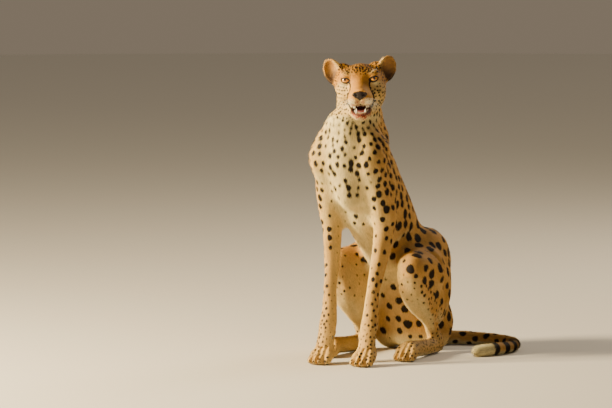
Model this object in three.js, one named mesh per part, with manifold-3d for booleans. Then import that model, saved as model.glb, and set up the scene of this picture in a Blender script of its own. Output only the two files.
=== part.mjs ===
// A life-size model of an adult cheetah that sits on its haunches, turns its head a little to its left
// and holds its mouth slightly open. Millimetres, +Z up. The floor is z = 0, the animal faces -Y and its
// left side is +X. The flesh is one smooth body, built up from muscles and bones and parted with thin cuts.
import * as THREE from "three";
import { mergeVertices } from "three/addons/utils/BufferGeometryUtils.js";
import Module from "manifold-3d";

const wasm = await Module();
wasm.setup();

// ---------------------------------------------------------------- driving dimensions

const GAP = 0.3; // between neighbouring solids

// Joints of the left side; the right side mirrors x.
const SHOULDER = [70, -180, 584];
const BLADE_TOP = [42, -58, 640];
const ELBOW = [80, -104, 402];
const WRIST = [64, -160, 142];
const FORE_KNUCKLE = [65, -190, 48];
const KNEE = [120, 14, 268];
const HOCK = [112, 182, 62];
const HIND_KNUCKLE = [122, -22, 34];

// Head: its centre, how it is turned, and where things sit in its own frame
// (left, forward, up from the centre).
const HEAD_AT = [44, -186, 794];
const HEAD_YAW = 22.8;
const HEAD_ROLL = 3.5;
const HEAD_PITCH = 3;
const EYE_AT = [38, 38, 15];
const EYE_RADIUS = 15.5;
const EAR_AT = [75, -14, 38.5];
const EAR_LEAN = 20; // outward, in degrees
const EAR_TURN = 28; // of its mouth, outward from straight ahead

// ---------------------------------------------------------------- fields
// A field gives the signed distance in mm, roughly, from a point to a surface: below 0 is inside.

const lerp = THREE.MathUtils.lerp;
const rad = THREE.MathUtils.degToRad;
const clamp = THREE.MathUtils.clamp;

/** The length of a vector. */
const size3 = (x, y, z) => Math.sqrt(x * x + y * y + z * z);

/** Joins two distances with a fillet about as wide as k. */
function join(a, b, k) {
  const h = Math.max(k - Math.abs(a - b), 0) / k;
  return Math.min(a, b) - h * h * k * 0.25;
}

/** The union of fields, with fillets of width k. */
const union = (k, ...fields) => (x, y, z) => {
  let d = fields[0](x, y, z);
  for (let i = 1; i < fields.length; i++) d = join(d, fields[i](x, y, z), k);
  return d;
};

/** a without b, with a rounded edge of width k. */
const carve = (k, a, b) => (x, y, z) => -join(-a(x, y, z), b(x, y, z), k);

/** A field that is only worked out near the box low..high; farther off, the distance to the box will do. */
const REACH = 60;
const boxed = (low, high, field) => (x, y, z) => {
  const away = size3(
    Math.max(low[0] - x, 0, x - high[0]),
    Math.max(low[1] - y, 0, y - high[1]),
    Math.max(low[2] - z, 0, z - high[2]),
  );
  return away > REACH ? away : field(x, y, z);
};

/** A field and its mirror image in x = 0. */
const pair = (field) => (x, y, z) => field(Math.abs(x), y, z);

/** A rod from a to b with its own radius at each end. */
function rod([ax, ay, az], ra, [bx, by, bz], rb) {
  const [ux, uy, uz] = [bx - ax, by - ay, bz - az];
  const length2 = ux * ux + uy * uy + uz * uz;
  return (x, y, z) => {
    const px = x - ax;
    const py = y - ay;
    const pz = z - az;
    const t = clamp((px * ux + py * uy + pz * uz) / length2, 0, 1);
    return size3(px - t * ux, py - t * uy, pz - t * uz) - lerp(ra, rb, t);
  };
}

/** An ellipsoid of half-sizes radii, turned by pitch about x and then by yaw about z, in degrees. */
function egg([cx, cy, cz], [rx, ry, rz], pitch = 0, yaw = 0) {
  const [cp, sp] = [Math.cos(rad(pitch)), Math.sin(rad(pitch))];
  const [cw, sw] = [Math.cos(rad(yaw)), Math.sin(rad(yaw))];
  return (x, y, z) => {
    const u = (x - cx) * cw + (y - cy) * sw;
    const v = (y - cy) * cw - (x - cx) * sw;
    const a = u / rx;
    const b = (v * cp + (z - cz) * sp) / ry;
    const c = ((z - cz) * cp - v * sp) / rz;
    const far = size3(a, b, c);
    return (far * (far - 1)) / Math.max(size3(a / rx, b / ry, c / rz), 1e-9);
  };
}

/**
 * A smooth tube through stations [x, y, z, depth, width]: depth is its half-size in the plane of y and z,
 * and width its half-size along x.
 */
function tube(stations, steps = 5) {
  const line = new THREE.CatmullRomCurve3(stations.map(([x, y, z]) => new THREE.Vector3(x, y, z)));
  const size = new THREE.CatmullRomCurve3(
    stations.map(([, , , depth, width]) => new THREE.Vector3(depth, width ?? depth, 0)),
  );
  const count = (stations.length - 1) * steps;
  const at = Array.from({ length: count + 1 }, (_, i) => ({
    p: line.getPoint(i / count),
    depth: size.getPoint(i / count).x,
    width: size.getPoint(i / count).y,
  }));
  const spans = at.slice(1).map((b, i) => {
    const a = at[i];
    const u = b.p.clone().sub(a.p);
    return { a, b, u, length2: u.lengthSq() };
  });
  return (x, y, z) => {
    let best = Infinity;
    for (const { a, b, u, length2 } of spans) {
      const px = x - a.p.x;
      const py = y - a.p.y;
      const pz = z - a.p.z;
      const t = clamp((px * u.x + py * u.y + pz * u.z) / length2, 0, 1);
      const depth = lerp(a.depth, b.depth, t);
      const side = ((px - t * u.x) * depth) / lerp(a.width, b.width, t);
      best = Math.min(best, size3(side, py - t * u.y, pz - t * u.z) - depth);
    }
    return best;
  };
}

// ---------------------------------------------------------------- the body

/** Chest, loin and rump along the spine, which slopes from the withers to the floor. */
function trunkField() {
  const spine = tube([
    [0, -160, 600, 74, 58],
    [0, -108, 566, 100, 74],
    [0, -40, 505, 115, 84],
    [0, 40, 424, 113, 86],
    [0, 126, 345, 98, 82],
    [0, 194, 258, 90, 82],
    [0, 238, 168, 90, 86],
    [0, 268, 84, 84, 80],
  ]);
  const withers = rod([0, -78, 640], 42, [0, 4, 560], 50);
  const breast = egg([0, -178, 566], [52, 50, 78], 12);
  const keel = egg([0, -146, 506], [44, 56, 70], -28);
  const belly = rod([0, -60, 420], 58, [0, 60, 290], 48);
  return union(28, spine, withers, breast, keel, belly);
}

/** Shoulder blade, upper arm and their muscles, on the left. */
function shoulderField() {
  const blade = rod(BLADE_TOP, 28, SHOULDER, 31);
  const cap = egg([79, -158, 588], [33, 46, 66], -38);
  const upperArm = rod(SHOULDER, 34, ELBOW, 31);
  const triceps = egg([84, -110, 486], [33, 52, 90], 6);
  const neckBase = rod([30, -146, 692], 33, [62, -168, 628], 38);
  return union(26, blade, cap, upperArm, triceps, neckBase);
}

/** Elbow to wrist on the left. */
function forearmField() {
  const [wx, wy, wz] = WRIST;
  const [ex, ey, ez] = ELBOW;
  const bones = tube([
    [ex, ey + 4, ez + 22, 36, 31],
    [ex, ey - 4, ez - 40, 35, 28],
    [ex - 6, ey - 18, ez - 110, 27, 25],
    [wx + 4, wy + 12, wz + 70, 21.5, 20.5],
    [wx, wy + 1, wz + 4, 21.5, 22.5],
    [wx, wy - 8, wz - 34, 20, 22],
  ]);
  const elbowPoint = egg([ex, ey + 24, ez - 2], [19, 20, 28], 20);
  const wristPad = egg([wx + 2, wy + 19, wz - 2], [9, 8, 12]);
  return union(14, bones, elbowPoint, wristPad);
}

/**
 * The toes and pads of one foot, whose knuckles lie over (x, y) and which points along -Y,
 * with its claws. length stretches it, and splay spreads the toes.
 */
function pawField(x, y, length, splay) {
  const toes = [-1.5, -0.5, 0.5, 1.5].map((i) => {
    const reach = length * (Math.abs(i) < 1 ? 1 : 0.8);
    const tip = [x + i * splay, y - reach, 11];
    const knuckle = [x + i * splay * 0.86, y - reach * 0.42, 27];
    const root = [x + i * splay * 0.62, y + 6, 32];
    const claw = rod([tip[0], tip[1] - 10, 15], 3.2, [tip[0], tip[1] - 21, 8], 1.5);
    return union(5, rod(root, 14, knuckle, 14.5), rod(knuckle, 14, tip, 12), claw);
  });
  const pad = egg([x, y - length * 0.16, 12], [25, 26, 15]);
  return union(7, ...toes, pad);
}

/** The forefoot: the short bones above the toes, the toes and the dew claw. */
function forefootField() {
  const [x, y, z] = FORE_KNUCKLE;
  const bones = tube([
    [WRIST[0], WRIST[1] - 4, WRIST[2] - 14, 20, 22],
    [x, y + 12, z + 42, 19, 23],
    [x, y + 2, z, 22, 27],
  ]);
  const dewClaw = rod([x - 22, y + 14, z + 40], 8, [x - 25, y + 2, z + 32], 3);
  return union(10, bones, pawField(x, y, 46, 16.5), dewClaw);
}

/** Haunch and thigh on the left. */
function thighField() {
  const haunch = egg([80, 206, 262], [60, 96, 104], 34);
  const thigh = egg([108, 118, 200], [46, 134, 94], -24, -8);
  const knee = rod(KNEE, 40, [110, 100, 246], 64);
  const seat = egg([72, 266, 86], [56, 68, 92], 14);
  return union(36, haunch, thigh, knee, seat);
}

/** Knee to hock, and the heel, on the left. */
function shankField() {
  const [kx, ky, kz] = KNEE;
  const [hx, hy, hz] = HOCK;
  const bones = tube([
    [kx, ky - 2, kz - 14, 40, 36],
    [kx + 1, ky + 38, kz - 80, 40, 34],
    [kx - 2, ky + 92, kz - 138, 29, 27],
    [hx, hy - 26, hz + 18, 21, 20],
    [hx, hy + 4, hz - 22, 23, 20],
  ]);
  const calf = egg([kx - 2, ky + 82, kz - 90], [30, 62, 34], -52);
  const hollow = egg([kx - 14, ky + 176, kz - 146], [26, 34, 44], 20);
  return union(16, bones, calf, hollow);
}

/** The long hind foot, flat on the floor from heel to toes, on the left. */
function hindfootField() {
  const [hx, hy] = HOCK;
  const [x, y, z] = HIND_KNUCKLE;
  const bones = tube([
    [hx, hy + 10, 26, 27, 21],
    [hx + 2, hy - 40, 24, 25, 21],
    [x - 4, y + 92, 26, 24, 21],
    [x, y + 34, 30, 25, 25],
    [x, y + 2, z - 2, 25, 28],
  ]);
  return union(10, bones, pawField(x, y, 44, 16));
}

/** The tail, which leaves the rump near the floor and lies in an open curve to the left. */
const TAIL = [
  [0, 282, 72, 36, 36],
  [6, 332, 44, 29, 29],
  [34, 384, 25, 24, 24],
  [92, 428, 20, 22, 22],
  [166, 440, 18.5, 20, 20],
  [236, 414, 17.5, 19, 19],
  [286, 356, 17.5, 19, 19],
  [304, 282, 18, 19.5, 19.5],
  [292, 208, 18.5, 20, 20],
  [262, 148, 16.5, 18, 18],
];

/** The neck, which leans towards the head. */
function neckField() {
  const [x, y, z] = HEAD_AT;
  return tube([
    [-4, -84, 612, 106, 74],
    [-2, -112, 662, 108, 74],
    [6, -136, 706, 96, 69],
    [x - 21, y + 34, z - 34, 68, 58],
    [x - 8, y + 26, z - 4, 52, 50],
  ]);
}

// ---------------------------------------------------------------- the head, in its own frame

/** Sets the head, modelled level and facing -Y about the origin, in its place. */
const HEAD_FRAME = new THREE.Matrix4()
  .makeTranslation(...HEAD_AT)
  .multiply(new THREE.Matrix4().makeRotationZ(rad(HEAD_YAW)))
  .multiply(new THREE.Matrix4().makeRotationY(rad(-HEAD_ROLL)))
  .multiply(new THREE.Matrix4().makeRotationX(rad(-HEAD_PITCH)));

/** The place of a point given as left, forward and up from the middle of the head. */
const headPoint = ([left, forward, up]) => new THREE.Vector3(left, -forward, up).applyMatrix4(HEAD_FRAME);

/** A field given in the head's own frame, for use in the part's frame. */
function inHead(field) {
  const m = HEAD_FRAME.clone().invert().elements;
  return (x, y, z) =>
    field(
      m[0] * x + m[4] * y + m[8] * z + m[12],
      -(m[1] * x + m[5] * y + m[9] * z + m[13]),
      m[2] * x + m[6] * y + m[10] * z + m[14],
    );
}

const JAW_CUT = [0, 66, -67]; // a point on the plane between the jaws
const JAW_TILT = -5; // its slope, in degrees

function skullField() {
  const cranium = egg([0, -24, 8], [58, 66, 49]);
  const forehead = egg([0, 20, 15], [49, 42, 40], -18);
  const temple = pair(egg([44, -4, 12], [28, 46, 34], 0, 8));
  const cheek = pair(egg([41, 8, -20], [30, 44, 35], 0, 10));
  const jowl = pair(egg([36, -4, -44], [26, 40, 32], -8, 8));
  const bridge = rod([0, 40, -2], 28, [0, 98, -24], 17);
  const muzzle = rod([0, 50, -30], 34, [0, 84, -35], 28);
  const whiskerPad = pair(egg([18.5, 86, -41], [18, 28, 19.5], -6, 10));
  const nose = egg([0, 105, -25], [18, 12, 13], 12);
  const brow = pair(egg([37, 39, 33], [20, 14, 7], -22, 18));
  return union(13, cranium, forehead, temple, cheek, jowl, bridge, muzzle, whiskerPad, nose, brow);
}

function jawField() {
  const bones = pair(rod([34, 14, -60], 19, [10, 82, -85], 13));
  const chin = egg([0, 85, -86], [20, 16, 13.5], -8);
  const floor = rod([0, 6, -66], 28, [0, 74, -83], 16);
  return union(10, bones, chin, floor);
}

const mouthField = () => egg([0, 79, -68], [26.5, 37, 13], JAW_TILT);

/** Places the left or right (side 1 or -1) ear, modelled upright and opening to -Y, in the head's frame. */
const earFrame = (side) =>
  new THREE.Matrix4()
    .makeTranslation(EAR_AT[0] * side, -EAR_AT[1], EAR_AT[2])
    .multiply(new THREE.Matrix4().makeRotationY(rad(EAR_LEAN * side)))
    .multiply(new THREE.Matrix4().makeRotationZ(rad(EAR_TURN * side)));

/** One ear: a cupped shell that opens forward and outward, and the thick root that it stands on. */
function earField(side) {
  const m = earFrame(side).invert().elements;
  const outer = egg([0, 0, 0], [30, 15, 39]);
  const hollow = egg([0, 9, 3], [24.5, 18, 32.5]);
  const root = egg([44 * side, -14, 28], [24, 20, 35]);
  const shell = carve(3, outer, hollow);
  return (u, f, w) => {
    const [x, y, z] = [u, -f, w];
    const cup = shell(
      m[0] * x + m[4] * y + m[8] * z + m[12],
      -(m[1] * x + m[5] * y + m[9] * z + m[13]),
      m[2] * x + m[6] * y + m[10] * z + m[14],
    );
    return join(cup, root(u, f, w), 12);
  };
}

function headField() {
  const closed = union(8, skullField(), jawField());
  const ears = union(4, earField(1), earField(-1));
  return inHead(union(7, carve(3, closed, mouthField()), ears));
}

// ---------------------------------------------------------------- from a field to a mesh

// The six tetrahedra of a cube, one for each order of the axes, all wound the same way.
// Corner c of the cube lies at (c & 1, c >> 1 & 1, c >> 2 & 1).
const TETS = [
  [0, 1, 2],
  [1, 2, 0],
  [2, 0, 1],
  [0, 2, 1],
  [2, 1, 0],
  [1, 0, 2],
].map(([a, b], i) => {
  const [first, second] = [1 << a, (1 << a) | (1 << b)];
  return i < 3 ? [0, first, second, 7] : [0, second, first, 7];
});
// Even orders of a tetrahedron's corners that put one corner, or two, in front.
const ONE_FIRST = { 1: [0, 1, 2, 3], 2: [1, 0, 3, 2], 4: [2, 0, 1, 3], 8: [3, 0, 2, 1] };
const TWO_FIRST = {
  3: [0, 1, 2, 3],
  5: [0, 2, 3, 1],
  9: [0, 3, 1, 2],
  6: [1, 2, 0, 3],
  10: [1, 3, 2, 0],
  12: [2, 3, 0, 1],
};
const BLOCK = 4; // cells along a block that is skipped when the surface is far from it

/** The closed surface of a field inside the box low..high, on a grid of the given cell size. */
function polygonise(field, low, high, cell) {
  const count = low.map((l, i) => Math.ceil((high[i] - l) / cell / BLOCK) * BLOCK + 1);
  const [nx, ny, nz] = count;
  const values = new Float32Array(nx * ny * nz).fill(NaN);
  const points = [];
  const faces = [];
  const onEdge = new Map();
  const place = (id) => {
    const i = id % nx;
    const j = Math.floor(id / nx) % ny;
    const k = Math.floor(id / nx / ny);
    return [i, j, k];
  };
  const value = (i, j, k) => {
    const id = (k * ny + j) * nx + i;
    if (Number.isNaN(values[id])) {
      const rim = i === 0 || j === 0 || k === 0 || i === nx - 1 || j === ny - 1 || k === nz - 1;
      const d = field(low[0] + i * cell, low[1] + j * cell, low[2] + k * cell);
      values[id] = rim ? Math.max(d, cell / 2) : d || 1e-6;
    }
    return values[id];
  };
  const crossing = (a, b) => {
    const key = a < b ? a * values.length + b : b * values.length + a;
    if (!onEdge.has(key)) {
      const t = values[a] / (values[a] - values[b]);
      const [pa, pb] = [place(a), place(b)];
      onEdge.set(key, points.length);
      points.push(pa.map((p, i) => low[i] + cell * lerp(p, pb[i], clamp(t, 0.04, 0.96))));
    }
    return onEdge.get(key);
  };
  const fill = (i, j, k) => {
    const corner = Array.from({ length: 8 }, (_, c) => {
      const [ci, cj, ck] = [i + (c & 1), j + ((c >> 1) & 1), k + ((c >> 2) & 1)];
      value(ci, cj, ck);
      return (ck * ny + cj) * nx + ci;
    });
    for (const tet of TETS) {
      const ids = tet.map((c) => corner[c]);
      const inside = ids.reduce((bits, id, n) => bits | (values[id] < 0 ? 1 << n : 0), 0);
      if (inside === 0 || inside === 15) continue;
      if (TWO_FIRST[inside]) {
        const [a, b, c, d] = TWO_FIRST[inside].map((n) => ids[n]);
        const quad = [crossing(a, c), crossing(a, d), crossing(b, d), crossing(b, c)];
        faces.push([quad[0], quad[1], quad[2]], [quad[0], quad[2], quad[3]]);
      } else {
        const [a, b, c, d] = (ONE_FIRST[inside] ?? ONE_FIRST[15 - inside]).map((n) => ids[n]);
        const face = [crossing(a, b), crossing(a, c), crossing(a, d)];
        faces.push(ONE_FIRST[inside] ? face : face.reverse());
      }
    }
  };
  const half = (BLOCK * cell) / 2;
  for (let k = 0; k < nz - 1; k += BLOCK)
    for (let j = 0; j < ny - 1; j += BLOCK)
      for (let i = 0; i < nx - 1; i += BLOCK) {
        const d = field(low[0] + i * cell + half, low[1] + j * cell + half, low[2] + k * cell + half);
        const atStart = i === 0 || j === 0 || k === 0;
        const atEnd = i + BLOCK > nx - 2 || j + BLOCK > ny - 2 || k + BLOCK > nz - 2;
        const atRim = atStart || atEnd;
        if (d > half * 3.5 || (d < -half * 3.5 && !atRim)) continue;
        for (let n = 0; n < BLOCK ** 3; n++)
          fill(i + (n % BLOCK), j + (Math.floor(n / BLOCK) % BLOCK), k + Math.floor(n / BLOCK / BLOCK));
      }
  return { points, faces };
}

/** The smallest first. */
class Queue {
  items = [];
  push(item) {
    const { items } = this;
    let at = items.length;
    while (at > 0 && items[(at - 1) >> 1].cost > item.cost) {
      items[at] = items[(at - 1) >> 1];
      at = (at - 1) >> 1;
    }
    items[at] = item;
  }
  pop() {
    const { items } = this;
    const first = items[0];
    const last = items.pop();
    if (!items.length) return first;
    let at = 0;
    for (;;) {
      let next = 2 * at + 1;
      if (next >= items.length) break;
      if (next + 1 < items.length && items[next + 1].cost < items[next].cost) next++;
      if (items[next].cost >= last.cost) break;
      items[at] = items[next];
      at = next;
    }
    items[at] = last;
    return first;
  }
}

const minus = (a, b) => [a[0] - b[0], a[1] - b[1], a[2] - b[2]];
const dot = (a, b) => a[0] * b[0] + a[1] * b[1] + a[2] * b[2];
const cross = (a, b) => [
  a[1] * b[2] - a[2] * b[1],
  a[2] * b[0] - a[0] * b[2],
  a[0] * b[1] - a[1] * b[0],
];

/**
 * Merges the ends of edges, the flattest places first, until the mesh has that many faces. Each point keeps
 * the sum of squared distances to the planes that met there, as ten numbers of a symmetric matrix.
 */
function thin({ points, faces }, target) {
  const around = points.map(() => new Set());
  const quadric = points.map(() => new Float64Array(10));
  const version = new Int32Array(points.length);
  faces.forEach((f, i) => {
    const n = cross(minus(points[f[1]], points[f[0]]), minus(points[f[2]], points[f[0]]));
    const area = Math.sqrt(dot(n, n)) || 1e-12;
    const [a, b, c] = n.map((q) => q / area);
    const d = -dot([a, b, c], points[f[0]]);
    const plane = [a * a, a * b, a * c, a * d, b * b, b * c, b * d, c * c, c * d, d * d];
    for (const p of f) {
      around[p].add(i);
      plane.forEach((q, m) => (quadric[p][m] += q * area));
    }
  });
  const error = (q, [x, y, z]) =>
    q[0] * x * x + q[4] * y * y + q[7] * z * z + q[9] +
    2 * (q[1] * x * y + q[2] * x * z + q[5] * y * z + q[3] * x + q[6] * y + q[8] * z);
  const best = (q, a, b) => {
    const middle = a.map((v, i) => (v + b[i]) / 2);
    const pull = 1e-3 * (q[0] + q[4] + q[7]) + 1e-9; // keeps the point near the middle on flat ground
    const m = [
      [q[0] + pull, q[1], q[2]],
      [q[1], q[4] + pull, q[5]],
      [q[2], q[5], q[7] + pull],
    ];
    const r = [q[3], q[6], q[8]].map((v, i) => pull * middle[i] - v);
    const det = dot(m[0], cross(m[1], m[2]));
    const solved = [cross(m[1], m[2]), cross(m[2], m[0]), cross(m[0], m[1])];
    const p = [0, 1, 2].map((i) => (solved[0][i] * r[0] + solved[1][i] * r[1] + solved[2][i] * r[2]) / det);
    return size3(...minus(p, middle)) < 2 * size3(...minus(a, b)) ? p : middle;
  };
  const queue = new Queue();
  const offer = (a, b) => {
    const q = quadric[a].map((v, i) => v + quadric[b][i]);
    const to = best(q, points[a], points[b]);
    const long = minus(points[a], points[b]);
    queue.push({ cost: error(q, to) + 1e-3 * dot(long, long), a, b, q, to, seen: version[a] + version[b] });
  };
  const neighbours = (p) => {
    const found = new Set();
    for (const f of around[p]) for (const n of faces[f]) if (n !== p) found.add(n);
    return found;
  };
  for (const f of faces) f.forEach((p, i) => p < f[(i + 1) % 3] && offer(p, f[(i + 1) % 3]));
  const turnsOver = (p, other, to) => {
    for (const f of around[p]) {
      if (faces[f].includes(other)) continue;
      const before = faces[f].map((n) => points[n]);
      const after = faces[f].map((n) => (n === p ? to : points[n]));
      const [m, n] = [before, after].map((t) => cross(minus(t[1], t[0]), minus(t[2], t[0])));
      if (dot(m, n) < 0.3 * Math.sqrt(dot(m, m) * dot(n, n))) return true;
    }
    return false;
  };
  let left = faces.length;
  while (left > target && queue.items.length) {
    const { a, b, q, to, seen } = queue.pop();
    if (!around[a].size || !around[b].size || version[a] + version[b] !== seen) continue;
    const shared = [...neighbours(a)].filter((n) => neighbours(b).has(n));
    if (shared.length !== 2 || turnsOver(a, b, to) || turnsOver(b, a, to)) continue;
    for (const f of around[b]) {
      if (faces[f].includes(a)) {
        for (const n of faces[f]) if (n !== b) around[n].delete(f);
        faces[f] = null;
        left--;
      } else {
        faces[f] = faces[f].map((n) => (n === b ? a : n));
        around[a].add(f);
      }
    }
    around[b].clear();
    points[a] = to;
    quadric[a] = q;
    version[a] += 1;
    for (const n of neighbours(a)) offer(a, n);
  }
  return { points, faces: faces.filter(Boolean) };
}

// ---------------------------------------------------------------- the whole flesh

/** The whole animal as one field. */
function fleshField() {
  const hind = union(
    12,
    boxed([20, -60, 0], [170, 350, 375], thighField()),
    boxed([70, -50, 0], [170, 230, 330], shankField()),
    boxed([80, -100, -5], [160, 230, 80], hindfootField()),
  );
  const fore = union(
    12,
    boxed([15, -260, 350], [130, -10, 740], shoulderField()),
    boxed([35, -200, 90], [130, -50, 440], forearmField()),
    boxed([25, -270, -5], [105, -130, 160], forefootField()),
  );
  return union(
    22,
    boxed([-150, -270, 0], [150, 360, 720], trunkField()),
    pair(fore),
    pair(hind),
    boxed([-120, -230, 530], [140, 10, 800], neckField()),
    boxed([-90, -310, 670], [170, -60, 890], headField()),
    boxed([-40, 130, -5], [340, 480, 120], tube(TAIL, 6)),
  );
}

// ---------------------------------------------------------------- solids

/** A closed triangle mesh as a solid. */
function solidOf(positions, triangles) {
  return new wasm.Manifold(
    new wasm.Mesh({
      numProp: 3,
      vertProperties: Float32Array.from(positions),
      triVerts: Uint32Array.from(triangles),
    }),
  );
}

/** A three.js geometry as a solid. */
function solidOfGeometry(geometry) {
  const bare = geometry.clone();
  bare.deleteAttribute("normal");
  bare.deleteAttribute("uv");
  const merged = mergeVertices(bare, 1e-3);
  return solidOf(merged.attributes.position.array, merged.index.array);
}

const FAR = 3000; // the size of a box that stands for half of space

/** Half of space: all that lies behind the plane through point, facing along normal and moved out by shift. */
function behind(point, normal, shift = 0) {
  const facing = new THREE.Vector3(...normal).normalize();
  const turn = new THREE.Quaternion().setFromUnitVectors(new THREE.Vector3(0, 0, 1), facing);
  const middle = facing.clone().multiplyScalar(shift - FAR / 2).add(new THREE.Vector3(...point));
  const box = new THREE.BoxGeometry(FAR, FAR, FAR).applyQuaternion(turn);
  return solidOfGeometry(box.translate(...middle.toArray()));
}

/** The space behind every one of the planes, each [point, normal], moved out by shift. */
const cellOf = (planes, shift = 0) =>
  planes.map(([point, normal]) => behind(point, normal, shift)).reduce((a, b) => a.intersect(b));

/** The same plane, seen from its other side. */
const turned = ([point, normal]) => [point, normal.map((v) => -v)];

/** A plane through a point of the head, both given as left, forward and up. */
function headPlane(point, normal) {
  const at = headPoint(point);
  const to = headPoint(point.map((v, i) => v + normal[i]));
  return [at.toArray(), to.sub(at).toArray()];
}

const mirrored = ([[x, y, z], [nx, ny, nz]]) => [[-x, y, z], [-nx, ny, nz]];

const FLOOR = [[0, 0, 0], [0, 0, -1]];
const NECK_BASE = [[0, -140, 684], [-0.03, 0.36, -0.93]]; // faces down and back, into the trunk
const SKULL_BASE = headPlane([0, -40, -36], [0, -0.7, -0.71]); // faces into the neck
const JAW_TOP = headPlane(JAW_CUT, [0, Math.sin(rad(-JAW_TILT)), Math.cos(rad(-JAW_TILT))]);
const JAW_BACK = headPlane([0, 36, 0], [0, -1, 0]);
const NOSE_SIDES = [
  headPlane([0, 100, -30], [0, -1, 0]),
  headPlane([0, 110, -39], [0, -0.2, -1]),
  headPlane([0, 100, -14], [0, -0.5, 1]),
  headPlane([20, 105, -27], [1, 0, -0.3]),
  headPlane([-20, 105, -27], [-1, 0, -0.3]),
];
/** The foot of one ear, a long slanting cut along the side of the crown. */
const earFoot = (side) => headPlane([60 * side, -14, 45], [-0.93 * side, 0, -0.36]);
const LEG_INSIDE = [[58, 0, 436], [-1, 0, 0.11]];
const ARM_TOP = [[0, 0, 436], [0, 0, 1]];
const ARM_BACK = [[0, -34, 432], [0, 0.985, -0.171]];
const WRIST_CUT = [[0, 0, 118], [0, 0, 1]];
const HAUNCH_INSIDE = [[84, 0, 0], [-1, 0, 0]];
const HAUNCH_TOP = [[0, 0, 378], [0, 0, 1]];
const KNEE_CUT = [[0, 14, 232], [0, 0.55, 0.835]]; // faces up and back, out of the shank
const HEEL_BACK = [[0, 216, 0], [0, 1, 0]];
const ANKLE_CUT = [[0, 0, 66], [0, 0, 1]];
const TAIL_ROOT = [[5, 338, 42], [-0.1, -0.9, 0.42]]; // faces into the rump
const TAIL_SECOND = [[92, 428, 20], [-0.95, -0.3, 0]];
const TAIL_THIRD = [[286, 356, 20], [-0.42, 0.9, 0]];
const TAIL_OUTSIDE = [[190, 0, 0], [-1, 0, 0]];

// Each piece of flesh: the planes that bound it, the box that its surface is drawn in, its cell size and
// about how many triangles it takes.
const HALVES = {
  forearm: {
    planes: [LEG_INSIDE, ARM_TOP, ARM_BACK, turned(WRIST_CUT)],
    box: [[30, -220, 100], [140, -10, 460]],
    cell: 7,
    triangles: 340,
  },
  forepaw: {
    planes: [LEG_INSIDE, ARM_BACK, WRIST_CUT],
    box: [[20, -280, -10], [120, -110, 136]],
    cell: 3.6,
    triangles: 460,
  },
  thigh: {
    planes: [HAUNCH_INSIDE, HAUNCH_TOP, turned(KNEE_CUT)],
    box: [[64, -60, 20], [190, 370, 400]],
    cell: 8,
    triangles: 460,
  },
  shank: {
    planes: [HAUNCH_INSIDE, KNEE_CUT, turned(ANKLE_CUT), HEEL_BACK, turned(ARM_BACK)],
    box: [[64, -60, 48], [190, 240, 300]],
    cell: 7,
    triangles: 280,
  },
  hindfoot: {
    planes: [HAUNCH_INSIDE, ANKLE_CUT, HEEL_BACK, turned(ARM_BACK)],
    box: [[64, -110, -10], [180, 240, 84]],
    cell: 3.6,
    triangles: 460,
  },
};
const WHOLES = {
  neck: {
    planes: [NECK_BASE, turned(SKULL_BASE)],
    box: [[-130, -280, 600], [150, 20, 900]],
    cell: 8,
    triangles: 420,
  },
  lower_jaw: {
    planes: [JAW_TOP, JAW_BACK],
    box: [[-20, -320, 670], [150, -180, 760]],
    cell: 2.6,
    triangles: 340,
  },
  nose: {
    planes: NOSE_SIDES,
    box: [[40, -330, 735], [140, -250, 800]],
    cell: 2.2,
    triangles: 160,
  },
  ear_left: {
    planes: [earFoot(1), SKULL_BASE],
    box: [[60, -240, 780], [170, -90, 890]],
    cell: 2.6,
    triangles: 330,
  },
  ear_right: {
    planes: [earFoot(-1), SKULL_BASE],
    box: [[-80, -280, 770], [30, -160, 880]],
    cell: 2.6,
    triangles: 330,
  },
  tail_root: {
    planes: [TAIL_ROOT, turned(TAIL_SECOND)],
    box: [[-40, 290, -10], [130, 480, 110]],
    cell: 6,
    triangles: 140,
  },
  tail_middle: {
    planes: [TAIL_SECOND, turned(TAIL_THIRD)],
    box: [[60, 310, -10], [340, 480, 60]],
    cell: 6,
    triangles: 160,
  },
  tail_tip: {
    planes: [TAIL_THIRD, TAIL_OUTSIDE],
    box: [[190, 100, -10], [350, 400, 60]],
    cell: 6,
    triangles: 180,
  },
};

const HEAD = {
  planes: [SKULL_BASE],
  box: [[-100, -330, 655], [190, -60, 900]],
  cell: 3.6,
  triangles: 2400,
};
const TRUNK = { box: [[-180, -290, -12], [180, 380, 780]], cell: 9, triangles: 2400 };

/** The skin of the whole animal near one piece, as a solid that reaches past its cuts. */
function drawn(field, { box: [low, high], cell, triangles }) {
  const { points, faces } = thin(polygonise(field, low, high, cell), triangles);
  return solidOf(points.flat(), faces.flat());
}

function eyeSolid(side, radius) {
  const [u, f, w] = EYE_AT;
  const middle = headPoint([u * side, f, w]);
  return solidOfGeometry(new THREE.SphereGeometry(radius, 14, 9).translate(...middle.toArray()));
}

function tongueSolid(grown) {
  const shape = new THREE.SphereGeometry(1, 12, 8).scale(14 + grown, 30 + grown, 5 + grown);
  return solidOfGeometry(shape.rotateX(rad(-JAW_TILT)).translate(0, -66, -79).applyMatrix4(HEAD_FRAME));
}

/** A tooth as a cone, its root and tip given as left, forward and up in the head. */
function tooth(root, tip, radius) {
  const [a, b] = [headPoint(root), headPoint(tip)];
  const cone = new THREE.CylinderGeometry(radius * 0.25, radius, a.distanceTo(b), 7);
  const turn = new THREE.Quaternion().setFromUnitVectors(
    new THREE.Vector3(0, 1, 0),
    b.clone().sub(a).normalize(),
  );
  return solidOfGeometry(cone.applyQuaternion(turn).translate(...a.lerp(b, 0.5).toArray()));
}

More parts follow.
